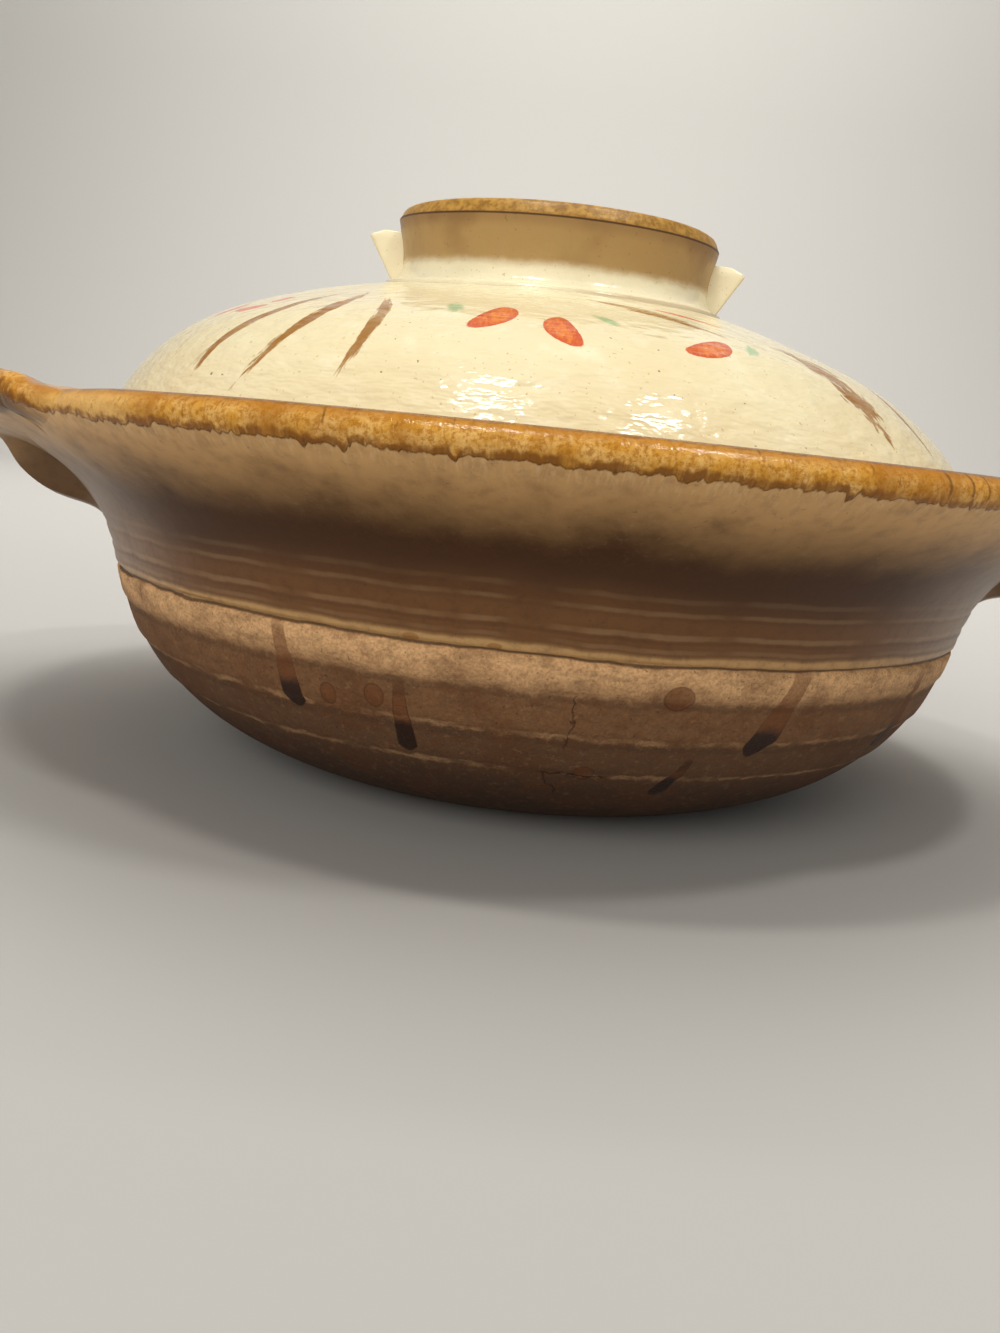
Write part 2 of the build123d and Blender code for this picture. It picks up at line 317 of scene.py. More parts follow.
def skin(name, grid, poles=(None, None), loop=False, holes=None, extra_faces=(), values=None):
    """Mesh of a grid of points: rows run along a profile and columns wrap round it.

    A pole closes the first or the last row with a fan. A loop joins the last row to the first.
    """
    rows, columns = grid.shape[:2]
    number = np.arange(rows * columns).reshape(rows, columns)
    if loop:
        number = np.vstack([number, number[:1]])
    right = np.roll(number, -1, axis=1)
    quads = np.stack([number[:-1], right[:-1], right[1:], number[1:]], axis=-1)
    quads = quads.reshape(-1, 4) if holes is None else quads[~holes]
    points = [grid.reshape(-1, 3)]
    fans = []
    count = rows * columns
    for pole, row, flip in ((poles[0], 0, False), (poles[1], -1, True)):
        if pole is None:
            continue
        points.append(np.reshape(pole, (1, 3)))
        fan = np.stack([np.full(columns, count), right[row], number[row]], axis=1)
        fans += (fan[:, ::-1] if flip else fan).tolist()
        count += 1
    mesh = bpy.data.meshes.new(name)
    mesh.from_pydata(np.vstack(points) * 0.001, [], quads.tolist() + fans + list(extra_faces))
    mesh.shade_smooth()
    for key, value in (values or {}).items():
        value = np.asarray(value, float)
        flat = value.reshape(rows * columns, -1)
        flat = np.vstack([flat] + [flat[:columns].mean(0)[None] if k == 0 else flat[-columns:].mean(0)[None]
                                   for k in range(2) if poles[k] is not None])
        vector = flat.shape[1] == 3
        layer = mesh.attributes.new(key, "FLOAT_VECTOR" if vector else "FLOAT", "POINT")
        layer.data.foreach_set("vector" if vector else "value", flat.ravel())
    return mesh


def place(mesh, material, body, node, slot):
    """Puts a mesh into the scene with its finish, riding on a body in place of a node."""
    mesh.materials.append(material)
    piece = bpy.data.objects.new(mesh.name, mesh)
    bpy.context.scene.collection.objects.link(piece)
    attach(piece, body)
    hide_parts(node)
    return piece


def round_axis(radius, height, azimuth, centre=0.0):
    """Points at a radius, height and azimuth: azimuth 0 is the front, on -Y, and it grows towards +X."""
    radius, height, azimuth = np.broadcast_arrays(radius, height, azimuth)
    return np.stack([centre + radius * np.sin(azimuth), -radius * np.cos(azimuth), height], axis=-1)


def circle(count):
    """Azimuths all round, from the back through the left to the right."""
    return np.linspace(-np.pi, np.pi, count, endpoint=False)


# The pot


def pot_curves(size):
    """The pot's outline in parts: underside, outer wall, rolled rim, collar and seat, cavity and floor."""
    top, roll, seat, mouth = size.rim_height, size.rim_roll, size.seat, size.mouth_radius
    rim = np.array((size.rim_radius, top - roll))
    groove = top - size.groove_drop
    corner = np.array((size.gallery_radius, seat))
    belly = np.array((mouth + size.pot_wall, groove))
    foot = np.array((size.base_radius, 0.0))
    lean, turned_under = np.radians(66), -40
    cove = corner + size.collar_wall * np.array((np.cos(lean), -np.sin(lean)))
    run = rim - corner
    collar = np.degrees(np.arctan2(run[1], run[0]) + np.arcsin(roll / np.hypot(*run)))
    start = np.radians(turned_under)
    bead = rim + roll * np.array((np.cos(start), np.sin(start)))
    bowl = bezier(foot, between(foot, belly, 0.49, 0.11), between(foot, belly, 0.92, 0.48), belly)
    neck = clamped_spline((belly, cove, bead), (0.22, 1), (-np.sin(start), np.cos(start)))
    rolled = arc(rim, roll, turned_under, collar + 90)
    inner = rounded((rolled[-1], corner, (mouth, seat), (mouth, groove)), (3.0, 2.4))
    hollow, edge = np.array((0, size.pot_floor)), np.array((mouth * 0.52, size.pot_floor))
    spring = np.array((mouth, groove))
    cavity = bezier(spring, between(hollow, spring, 0.97, 0.49), between(hollow, spring, 0.79, 0.045), edge)
    ring, deep = size.base_radius - size.foot_width, size.base_hollow
    steps = np.array(((0, deep), (ring - deep, deep), (ring, 0), (foot[0], 0)))
    base = [steps[k:k + 2] for k in range(3)]
    return {"base": base, "bowl": bowl, "neck": neck, "rolled": rolled, "inner": inner, "cavity": cavity,
            "floor": np.array((edge, hollow)), "cove": cove, "corner": corner, "belly": belly, "rim": rim,
            "middle": belly - (size.pot_wall / 2, 0)}


def pot_outline(size):
    """Rows of radius, height and side, from the middle of the underside over the rim to the middle of the floor."""
    parts = pot_curves(size)
    wall = joined(parts["bowl"], parts["neck"])
    near = np.abs(wall[:, 1] - parts["belly"][1])
    outer = spaced(wall, 0.38 + 0.55 * smooth(near, 2, 6))
    base = [spaced(run, step) for run, step in zip(parts["base"], (7, 1.2, 1.6))]
    outside = joined(*base, outer, spaced(parts["rolled"], 0.55))
    crest = np.argmax(outside[:, 1])
    inside = joined(spaced(parts["inner"], 1.1), spaced(parts["cavity"], 3.0), spaced(parts["floor"], 9))
    line = np.vstack([outside[:-1], inside])[1:-1]
    side = (np.arange(len(line)) >= crest).astype(float)
    return np.column_stack([line, side])


def outward(line):
    """Unit normals of a run of points that has the clay on its left."""
    step = np.gradient(line, axis=0)
    return unit(np.stack([step[:, 1], -step[:, 0]], axis=1))


def ripple(azimuth, height):
    """Slow unevenness of a hand-thrown wall, from -1 to 1: a few waves round the pot that drift with height."""
    waves = (np.sin(2 * azimuth + 0.05 * height + 1.1), np.sin(3 * azimuth - 0.09 * height + 2.3),
             np.sin(5 * azimuth + 0.04 * height + 0.4), np.sin(9 * azimuth - 0.11 * height + 5.0))
    return (waves[0] + waves[1] + 0.6 * waves[2] + 0.4 * waves[3]) / 3


def sag(size, azimuth, height):
    """How far the rim hangs down: a dip beside the left lug and one behind its middle, less down the collar."""
    turn = np.degrees(azimuth)
    near = (0.23 * smooth(turn, -20, -34) + 0.77 * smooth(turn, -33, -45)) * smooth(turn, -48.6, -45.6)
    behind = 1.2 * smooth(turn, -84, -97) * smooth(turn, -122, -108)
    return size.rim_dip * (near + behind) * smooth(height, size.rim_height - 30, size.rim_height)


def pressed(size, line, azimuth, sunk=0.0):
    """Radius and height of the outline at some azimuths, with the maker's grooves, trimming steps and ripples.

    Each of them is a depth along the outline's normal: a rounded trough at a drop below the rim, or a step
    that fades out downwards. The whole is sunk by a little more where another skin lands on it.
    """
    radius, height, side = (line[:, k:k + 1] for k in range(3))
    normal = outward(line[:, :2])
    wavy = ripple(azimuth, height)
    level = size.rim_height - height + 0.35 * wavy

    def trough(middle, half):
        return np.clip(1 - ((level - middle) / half) ** 2, 0, 1) ** 2

    depth = 0.9 * trough(size.groove_drop, 1.05) + 0.18 * (1 + wavy) * smooth(level, 0.5, 12)
    for middle, deep, half in ((29.3, 0.22, 1.1), (33.8, 0.26, 1.1), (36.3, 0.12, 0.9)):
        depth = depth + deep * trough(middle, half)
    uneven = level + 0.5 * ripple(2 * azimuth, height)
    for edge, step in ((46.9, 0.45), (56.2, 0.4), (65.2, 0.35)):
        depth = depth + step * smooth(uneven, edge - 1.6, edge) * smooth(level, edge + 8.5, edge)
    depth = depth * (1 - side) * smooth(height, 2, 8) * smooth(radius, 40, 55) + sunk
    return radius - depth * normal[:, :1], height - depth * normal[:, 1:]


def pot_mesh(size):
    """The thrown pot: its outline turned about the axis, pressed by hand, its rim sagging beside the lugs."""
    line = pot_outline(size)
    azimuth = circle(POT_COLUMNS)[None, :]
    radius, height = pressed(size, line, azimuth)
    grid = round_axis(radius, height - sag(size, azimuth, height), azimuth)
    drop = np.broadcast_to(size.rim_height - line[:, 1:2], radius.shape)
    side = np.broadcast_to(line[:, 2:], radius.shape)
    ends = (0, 0, size.base_hollow), (0, 0, size.pot_floor)
    return skin("pot_wall", grid, poles=ends, values={"drop": drop, "inside": side})


# The lugs


def wall_middle(parts, height):
    """Radius halfway through the wall at a height, between the groove, the gallery's corner and the rim."""
    stops = np.array((parts["middle"], (parts["corner"] + parts["cove"]) / 2, parts["rim"]))
    return np.interp(height, stops[:, 1], stops[:, 0])


def lug_sections(size, turn):
    """Closed outlines of a lug in the upright planes at some turns from its middle, 16 points to a piece.

    The lug grows out of the rim as a power of 1 minus the square of the turn's share: a rolled edge on
    circles, a scooped underside, a chin and a foot in the wall. Towards its ends the scoop is pressed deeper.
    """
    parts = pot_curves(size)
    top, roll_rim = size.rim_height, size.rim_roll
    rim, bead = parts["rim"]
    share, sink = turn / LUG_HALF, LUG_SINK
    grown = (1 - share ** 2) ** 0.9
    dip = np.clip(1 - (share / 0.56) ** 2, 0, None) ** 2
    crest = size.lug_rise * (1 - share ** 2) ** 0.6 - size.lug_dip * dip - sink * (1 - grown)
    foot_z = top - (LUG_END_DEPTH + (size.lug_depth - LUG_END_DEPTH) * smooth(1 - np.abs(share), 0, 0.8))
    roll = (roll_rim - sink) * (1 - grown) + size.lug_roll * grown
    roll_r = rim + (roll_rim + size.lug_reach) * grown + (roll_rim - sink) * (1 - grown) - roll
    roll_z = top + crest - roll
    foot = np.stack([wall_middle(parts, foot_z) + size.pot_wall / 4, foot_z], axis=1)
    under = np.stack([roll_r, roll_z - roll], axis=1)

    def toward(across, up):
        return foot + (under - foot) * (across, up)

    saddle = np.stack([rim - roll_rim / 3 * (1 - grown) + 0.38 * (roll_r - rim),
                       top + 0.62 * crest - sink * (1 - grown)], axis=1)
    tops = [np.stack([roll_r + roll * np.cos(angle), roll_z + roll * np.sin(angle)], axis=1)
            for angle in np.radians((90, 45, 0, -50))]
    inner = []
    for rung in (0.25, 0.5, 0.75, 1):
        height = foot_z + rung * (bead - foot_z)
        inner.append(np.stack([wall_middle(parts, height) - roll_rim / 2, height], axis=1))
    points = np.stack([inner[3], saddle, *tops, toward(0.71, 0.70), toward(0.58, 0.31), foot, *inner[:3]], axis=1)
    deeper = smooth(np.abs(share), 0.4, 0.72) * smooth(np.abs(share), 0.92, 0.76)
    points[:, 6:8] -= deeper[:, None, None] * np.array(((0.2, 0), (0.1, 0))) * (under - foot)[:, None, :]
    return closed_splines(points, LUG_PIECE)


def clearance(points, line):
    """How far points stand out of a closed outline, negative inside, and how far along it the nearest lies."""
    start, end = line[:-1], line[1:]
    step = end - start
    far = lengths(line)
    flat = points.reshape(-1, 2)
    to = flat[:, None, :] - start
    share = np.clip((to * step).sum(2) / (step ** 2).sum(1), 0, 1)
    gap = np.linalg.norm(to - share[..., None] * step, axis=2)
    near = gap.argmin(1)
    pick = np.arange(len(flat))
    crossed = (start[:, 1] > flat[:, 1:]) != (end[:, 1] > flat[:, 1:])
    with np.errstate(divide="ignore", invalid="ignore"):
        cut = start[:, 0] + (flat[:, 1:] - start[:, 1]) * step[:, 0] / step[:, 1]
    within = (crossed & (flat[:, :1] < cut)).sum(1) % 2 == 1
    signed = np.where(within, -1, 1) * gap[pick, near]
    along = far[near] + share[pick, near] * (far[near + 1] - far[near])
    return signed.reshape(points.shape[:-1]), along.reshape(points.shape[:-1])


def lug_ring(section, clear, along, wall, far, reach, top):
    """One upright section of a lug: its skin outside the pot, led into the wall and the rim by smooth fillets.

    Each fillet is a Bezier curve that leaves the lug's outline along it and lands along the pot's wall, which
    is given with the distance along it. Returns the ring, its drop, which is ROLL_DROP where the roll turns
    under and the true one where the lug runs out, and its stand, which falls from 1 on the lug to 0 on the wall.
    """
    out = np.flatnonzero(clear > 0)
    first, last = out[0], out[-1]
    high = clear[first:last + 1].max()
    blend_foot, blend_rim = min(reach, 0.62 * high), min(2.6, 0.45 * high)
    begin = first + int(np.argmax(clear[first:] > blend_rim))
    end = last - int(np.argmax(clear[last::-1] > blend_foot))

    def fillet(k, onward, place, way):
        """Leaves the outline at its point k, onward along it, and lands at a place on the wall, going its way."""
        point, (before, land, after) = section[k], read_off(place + way * np.array((-0.2, 0, 0.2)), far, wall)
        pull = 0.42 * np.linalg.norm(land - point)
        leave, arrive = unit(section[k + onward] - point), unit(after - before)
        return bezier(point, point + pull * leave, land - pull * arrive, land, 15)

    head = fillet(begin, -1, along[first] + 0.8 * blend_rim + 0.3, 1)[::-1]
    tail = fillet(end, 1, along[last] - 1.15 * blend_foot - 0.3, -1)
    path = joined(head, section[begin:end + 1], tail)
    walk = lengths(path)
    rim_edge = walk[np.linalg.norm(path - section[5 * LUG_PIECE], axis=1).argmin()]
    wanted = np.linspace(0, walk[-1], LUG_RING)
    ring = read_off(wanted, walk, path)
    drop = np.interp(wanted, (0, rim_edge, max(walk[-1], rim_edge + 0.01)), (0, ROLL_DROP, top - ring[-1, 1]))
    true = np.clip(top - ring[:, 1], 0, None)
    drop = true + (drop - true) * smooth(high, 0.8, 4)
    inward = [ring[-1] + (-0.5, 1.6), (ring[-1] + ring[0]) / 2 - (2.2, -1.0), ring[0] + (-0.3, -1.6)]
    stand = smooth(walk[-1] - wanted, 1, reach + 3) * smooth(high, 1.5, 5)
    return np.vstack([ring, inward]), np.append(drop, (drop[-1], drop[-1], drop[0])), np.append(stand, (0, 0, 0))


def lug_mesh(size, name, middle):
    """A lug about an azimuth: its sections, closer together near the ends, joined into a closed skin.

    Where a section comes near the pot, it follows what the maker's hands did to the wall there.
    """
    outline = pot_outline(size)
    line, far = outline[:, :2], lengths(outline[:, :2])
    turn = (LUG_HALF - 0.4) * np.sin(np.pi / 2 * np.linspace(-1, 1, LUG_RINGS))
    sections = lug_sections(size, turn)[:, :8 * LUG_PIECE + 1]
    clear, along = clearance(sections, line)
    kept = clear.max(1) > 0.06
    sections, clear, along = sections[kept], clear[kept], along[kept]
    azimuth = middle + np.radians(turn[kept])
    walls = np.stack(pressed(size, outline, azimuth[None, :], sunk=0.06), axis=2).transpose(1, 0, 2)
    for k, wall in enumerate(walls):
        sections[k] += read_off(along[k], far, wall - line) * smooth(clear[k], 4, 0)[:, None]
    rings = [lug_ring(*each, far, size.lug_fillet, size.rim_height) for each in zip(sections, clear, along, walls)]
    rows, drop, stand = (np.stack(part) for part in zip(*rings))
    azimuth = azimuth[:, None]
    grid = round_axis(rows[..., 0], rows[..., 1] - sag(size, azimuth, rows[..., 1]), azimuth)
    parts, levels = pot_curves(size), rows[(0, -1), :, 1].mean(1)
    buried = [round_axis(wall_middle(parts, level), level, azimuth[k, 0]) for k, level in zip((0, -1), levels)]
    return skin(name, grid, poles=buried, values={"drop": drop, "inside": 0 * drop, "stand": stand})


# The lid


def lid_curve(edge, low, high, bulge, count=200):
    """Half of an arch, from its foot at a radius up to its middle; bulge moves the handle at the foot."""
    foot, middle = (0, low), (edge, high)
    return bezier((edge, low), between(foot, middle, *bulge), between(foot, middle, 0.50, 1.0), (0, high), count)


def dome_line(size):
    """Outer surface of the dome, from the top of the lip up to the crown."""
    return lid_curve(size.lid_radius, size.seat + size.lid_lip, size.seat + size.lid_height, (0.907, 0.635))


def dome_height(size, radius):
    """Height of the dome at a distance from the lid's axis."""
    line = dome_line(size)[::-1]
    return np.interp(radius, line[:, 0], line[:, 1])


def vault_line(size):
    """Inner surface of the lid, from its foot up to the middle."""
    crown = size.seat + (size.lid_height - size.lid_wall)
    return lid_curve(size.lid_radius - size.seat_land, size.seat + 2.2, crown, (0.915, 0.60))


def settled(size, grid):
    """Moves the lid's points to where the clay has settled: its front low, its left shoulder fuller than its right.

    The heights change by smooth steps of the distance before and beside the lid's axis, which fade out
    towards the lip, and nothing rises past the top of the knob.
    """
    x, y, z = grid[..., 0] - mm(LID_X), grid[..., 1], grid[..., 2]
    seat, top = size.seat, mm(KNOB_TOP)
    front = size.lid_lean * smooth(-y, -20, 56) * smooth(np.hypot(x, y), 100, 60) * smooth(z, seat + 1, seat + 9)
    front = front * (1 - 0.28 * smooth(z, top - 2.6, top))
    left = LEFT_RISE * smooth(-x, 22, 74) * smooth(z, seat + 1, seat + 14) * smooth(z, top, top - 3)
    right = RIGHT_SINK * smooth(x, 25, 92) * smooth(z, seat + 12, seat + 32)
    grid[..., 2] += left - front - right
    return grid


def lid_mesh(size):
    """The lid's shell: vault, seat, lip and dome turned about the axis, with a round steam hole through both skins.

    Dome and vault share their radii, so that the cells inside the hole leave matching edges, which move onto
    the circle and are joined by a wall.
    """
    low = size.seat
    edge, seat = size.lid_radius, size.lid_radius - size.seat_land
    dome, vault = dome_line(size), vault_line(size)
    shared = np.concatenate([np.linspace(1.6, 56, 40, endpoint=False), np.linspace(56, 76, 18, endpoint=False),
                             np.linspace(76, seat - 3, 20)])
    inner_height = np.interp(shared, vault[::-1, 0], vault[::-1, 1])
    steep = spaced(vault[vault[:, 0] > shared[-1] + 0.4][::-1], 1.3)
    rim = rounded((vault[0], (seat, low), (edge, low), (edge, low + size.lid_lip)), (1.1, 2.2), 7)
    shoulder = spaced(dome[dome[:, 0] > shared[-1] + 0.4], 1.1)
    outer_height = np.interp(shared, dome[::-1, 0], dome[::-1, 1])
    line = np.vstack([
        np.column_stack([shared, inner_height]), steep, spaced(rim, 1.0)[1:-1], shoulder,
        np.column_stack([shared, outer_height])[::-1],
    ])
    azimuth = circle(LID_COLUMNS)[None, :]
    radius, height = line[:, :1], line[:, 1:]
    rows, inner = len(line), len(shared)
    is_outer = (np.arange(rows) >= inner + len(steep))[:, None]
    normal = outward(line)
    press = 0.22 * (1 + ripple(azimuth + 1.9, 0.8 * radius)) * is_outer * smooth(height, low + 4, low + 14)
    grid = round_axis(radius - press * normal[:, :1], height - press * normal[:, 1:], azimuth)
    columns = grid.shape[1]

    # Cells whose middles lie in the hole go, and the points that they shared with kept cells move onto its circle
    hole, reach = np.array((0, size.steam_ring)), size.steam_radius
    corners = [np.roll(grid, -across, axis=1)[down:rows - 1 + down] for down in (0, 1) for across in (0, 1)]
    cell = np.linalg.norm((sum(corners) / 4)[..., :2] - hole, axis=2) < reach
    touched = []
    for down in (0, 1):
        for across in (0, 1):
            spot = np.zeros((rows, columns), bool)
            spot[down:rows - 1 + down] = np.roll(cell, across, axis=1)
            touched.append(spot)
    border = np.any(touched, axis=0) & ~np.all(touched, axis=0)
    grid[border, :2] = hole + unit(grid[border][:, :2] - hole) * reach

    # The hole's wall joins each open edge of the vault to the same edge of the dome
    open_cell = cell[:inner]
    number = np.arange(rows * columns).reshape(rows, columns)
    right = np.roll(number, -1, axis=1)
    closed = np.zeros((1, columns), bool)
    wall = []
    for beyond, start, end in (
        (np.roll(open_cell, 1, axis=1), number[:-1], number[1:]),
        (np.roll(open_cell, -1, axis=1), right[1:], right[:-1]),
        (np.vstack([closed, open_cell[:-1]]), right[:-1], number[:-1]),
        (np.vstack([open_cell[1:], closed]), number[1:], right[1:]),
    ):
        row, column = np.nonzero(open_cell & ~beyond)
        low_start, low_end = start[row, column], end[row, column]
        high_start, high_end = ((rows - 1 - k // columns) * columns + k % columns for k in (low_start, low_end))
        wall += np.stack([low_end, low_start, high_start, high_end], axis=1).tolist()

    climb = lengths(dome)
    slope = np.interp(np.broadcast_to(radius, grid.shape[:2]), dome[::-1, 0], (climb[-1] - climb)[::-1])
    unrolled = np.stack([slope * np.sin(azimuth), -slope * np.cos(azimuth), 0 * slope], axis=-1)
    grid[..., 0] += mm(LID_X)
    poles = (mm(LID_X), 0, vault[-1, 1]), (mm(LID_X), 0, dome[-1, 1])
    return skin("lid_shell", settled(size, grid), poles=poles, holes=cell, extra_faces=wall,
                values={"unrolled": unrolled, "outer": is_outer * np.ones_like(azimuth)})


def knob_line(size):
    """Closed outline of the ring knob: flared foot, drawn-in wall, crisp edge, glazed band and inner wall."""
    radius, flare = size.knob_radius, 2.3
    foot_z, top = float(dome_height(size, radius)), mm(KNOB_TOP)
    edge_z = top - size.knob_band
    foot, edge = np.array((radius + flare, foot_z)), np.array((radius, edge_z))
    waist = np.array((radius - size.knob_waist, foot_z + 0.4 * (edge_z - foot_z)))
    tall = edge_z - foot_z
    flank = bezier(foot, foot + (-2.6, 0.5), waist - (0, 0.3 * tall), waist, 30)
    wall = joined(flank, bezier(waist, waist + (0, 0.2 * tall), edge + (-0.7, -0.25 * tall), edge, 30))
    inner = radius - size.knob_wall
    sunk = foot_z - size.lid_wall / 2
    cap = rounded((edge, (radius - 1.3, top), (inner, top), (inner - 1.3, sunk)), (1.3, 1.3), 9)
    bottom = rounded(((inner - 1.3, sunk), (foot[0] - 0.4, sunk), foot), (0.3,), 3)
    return joined(spaced(wall, 0.4), spaced(cap, 0.6), spaced(bottom, 1.4))[:-1]


def knob_mesh(size):
    """The ring knob: its closed outline turned about the lid's axis, its foot lapping onto the dome."""
    line = knob_line(size)
    azimuth = circle(KNOB_COLUMNS)[None, :]
    radius, height = line[:, :1], line[:, 1:]
    outer = (radius > size.knob_radius - 4.5) * np.ones_like(azimuth)
    grid = round_axis(radius - 0.1 * (1 + ripple(azimuth, 0)) * outer, height, azimuth, mm(LID_X))
    drop = (mm(KNOB_TOP) - height) * np.ones_like(azimuth)
    return skin("knob_wall", settled(size, grid), loop=True, values={"drop": drop, "inside": 1 - outer})


def ear_mesh(size, name, side):
    """An ear on the knob: a leaning tab whose plan is a squared oval, longer at its foot, with a sloping top.

    Levels run up the tab; each is an oval with the exponent EAR_SQUARE between an inner and an outer line.
    """
    radius = size.knob_radius
    foot_z, top = float(dome_height(size, radius)) - 1.7, mm(KNOB_TOP) - size.ear_drop
    reach, bite = size.ear_reach, radius - 4.95
    levels = np.array((  # height, inner line, outer line, half length
        (foot_z, bite, radius - 0.8, 8.5), (top - 2.1, bite, radius + reach - 0.2, 7.05),
        (top - 1.4, bite, radius + reach - 0.35, 6.85), (top - 0.15, bite, radius + reach / 2 + 0.2, 6.3),
        (top, bite + 0.1, radius + reach / 2 - 0.3, 5.9),
    ))
    share = lengths(levels[:, :3])
    rise = np.concatenate([np.linspace(0, share[1], 22)[:-1], np.linspace(share[1], share[-1], 16)])
    height, inner, outer, half = read_off(rise, share, levels).T[..., None]
    turn = np.linspace(0, 2 * np.pi, EAR_COLUMNS, endpoint=False)[None, :]
    across, along = (np.sign(wave) * np.abs(wave) ** (2 / EAR_SQUARE) for wave in (np.cos(turn), np.sin(turn)))
    shrink = np.linspace(1, 0, 7)[1:-1][:, None]
    middle = (inner + outer) / 2
    x = middle + (outer - inner) / 2 * across
    y = half * along
    x = np.vstack([x, middle[-1] + (x[-1:] - middle[-1]) * shrink])
    y = np.vstack([y, y[-1:] * shrink])
    z = np.vstack([height, np.full_like(shrink, top)]) * np.ones_like(turn)
    ends = np.array([((side * level[0] + mm(LID_X), 0, high),)
                     for level, high in ((middle[0], foot_z), (middle[-1], top))])
    grid = settled(size, np.stack([side * x + mm(LID_X), side * y, z], axis=-1))
    return skin(name, grid, poles=settled(size, ends), values={"drop": mm(KNOB_TOP) - z})


# Finishes


def maths(operation, swapped=False):
    """A method that adds a Math node on a value, and on another one if the operator has two sides."""
    def method(self, *other):
        return self.finish.math(operation, *((*other, self) if swapped else (self, *other)))

    return method


class Value:
    """The output of a shader node; Python's operators on it add Math nodes."""

    def __init__(self, finish, socket):
        self.finish, self.socket = finish, socket

    def __neg__(self):
        return self * -1

    __add__ = __radd__ = maths("ADD")
    __sub__, __rsub__ = maths("SUBTRACT"), maths("SUBTRACT", swapped=True)
    __mul__ = __rmul__ = maths("MULTIPLY")
    __truediv__, __pow__, __abs__ = maths("DIVIDE"), maths("POWER"), maths("ABSOLUTE")


class Finish:
    """A procedural finish: its node tree and the calls that fill it. Lengths in it are millimetres."""

    def __init__(self, name):
        self.material = bpy.data.materials.new(name)
        self.material.use_nodes = True
        self.tree = self.material.node_tree
        self.tree.nodes.clear()
        self.point = self.node("ShaderNodeVectorMath", {"operation": "SCALE"},
                               {0: self.node("ShaderNodeTexCoord", out="Object"), "Scale": 1000})
        self.x, self.y, self.z = self.axes(self.point, "XYZ")

    def node(self, kind, settings=None, inputs=None, out=0):
        """Adds a node: settings first, then its sockets' values or links. Returns one of its outputs."""
        node = self.tree.nodes.new(kind)
        for key, value in (settings or {}).items():
            setattr(node, key, value)
        for key, value in (inputs or {}).items():
            socket = node.inputs[key]
            if isinstance(value, Value):
                self.tree.links.new(value.socket, socket)
            elif socket.type == "RGBA" and len(value) == 3:
                socket.default_value = (*value, 1)
            else:
                socket.default_value = value
        return None if out is None else Value(self, node.outputs[out])

    def math(self, operation, *values):
        """A Math node."""
        return self.node("ShaderNodeMath", {"operation": operation}, dict(enumerate(values)))

    def attribute(self, name, out="Fac"):
        """A value that the mesh carries."""
        return self.node("ShaderNodeAttribute", {"attribute_name": name}, out=out)

    def axes(self, vector, names):
        """The named parts of a vector."""
        return (self.node("ShaderNodeSeparateXYZ", inputs={0: vector}, out=axis) for axis in names)

    def vector(self, x, y, z):
        """A vector from three values."""
        return self.node("ShaderNodeCombineXYZ", inputs={0: x, 1: y, 2: z})

    def noise(self, size, detail=2, rough=0.5, where=None):
        """Noise from 0 to 1, whose largest lumps are about the given size, at the point or at another place."""
        return self.node("ShaderNodeTexNoise", None, {
            "Vector": where or self.point, "Scale": 1 / size, "Detail": detail, "Roughness": rough})

    def ramp(self, value, low, high, top=1):
        """Smooth step from 0 at low to top at high; low may be the larger."""
        return self.node("ShaderNodeMapRange", {"interpolation_type": "SMOOTHSTEP"},
                         {0: value, 1: low, 2: high, 3: 0, 4: top})

    def stretched(self, where, *scale):
        """A place with each of its axes scaled."""
        return self.node("ShaderNodeVectorMath", {"operation": "MULTIPLY"}, {0: where, 1: scale})

    def band(self, value, middle, half, soft):
        """1 within half of the middle, 0 beyond half and soft."""
        return self.ramp(abs(value - middle), half + soft, half)

    def mix(self, share, first, second):
        """Blend of two colours."""
        return self.node("ShaderNodeMix", {"data_type": "RGBA"}, {0: share, 6: first, 7: second}, out=2)

    def over(self, base, layers):
        """Lays colours over a base, each by its share."""
        for share, shade in layers:
            base = self.mix(share, base, shade)
        return base

    def most(self, *values):
        """The largest of some values."""
        top = values[0]
        for value in values[1:]:
            top = self.math("MAXIMUM", top, value)
        return top

    def done(self, base, rough, height, specular=0.5):
        """Connects colour, roughness and a height in millimetres to the shader, and returns the material."""
        bump = self.node("ShaderNodeBump", None, {"Strength": 1, "Distance": 0.001, "Height": height})
        shader = self.node("ShaderNodeBsdfPrincipled", None, {
            "Base Color": base, "Roughness": rough, "Specular IOR Level": specular, "Normal": bump})
        self.node("ShaderNodeOutputMaterial", None, {"Surface": shader}, out=None)
        return self.material


def shades(colours):
    """The colours by name."""
    return SimpleNamespace(**{key: tuple(getattr(colours, key)) for key in DonabeColours.__annotations__})


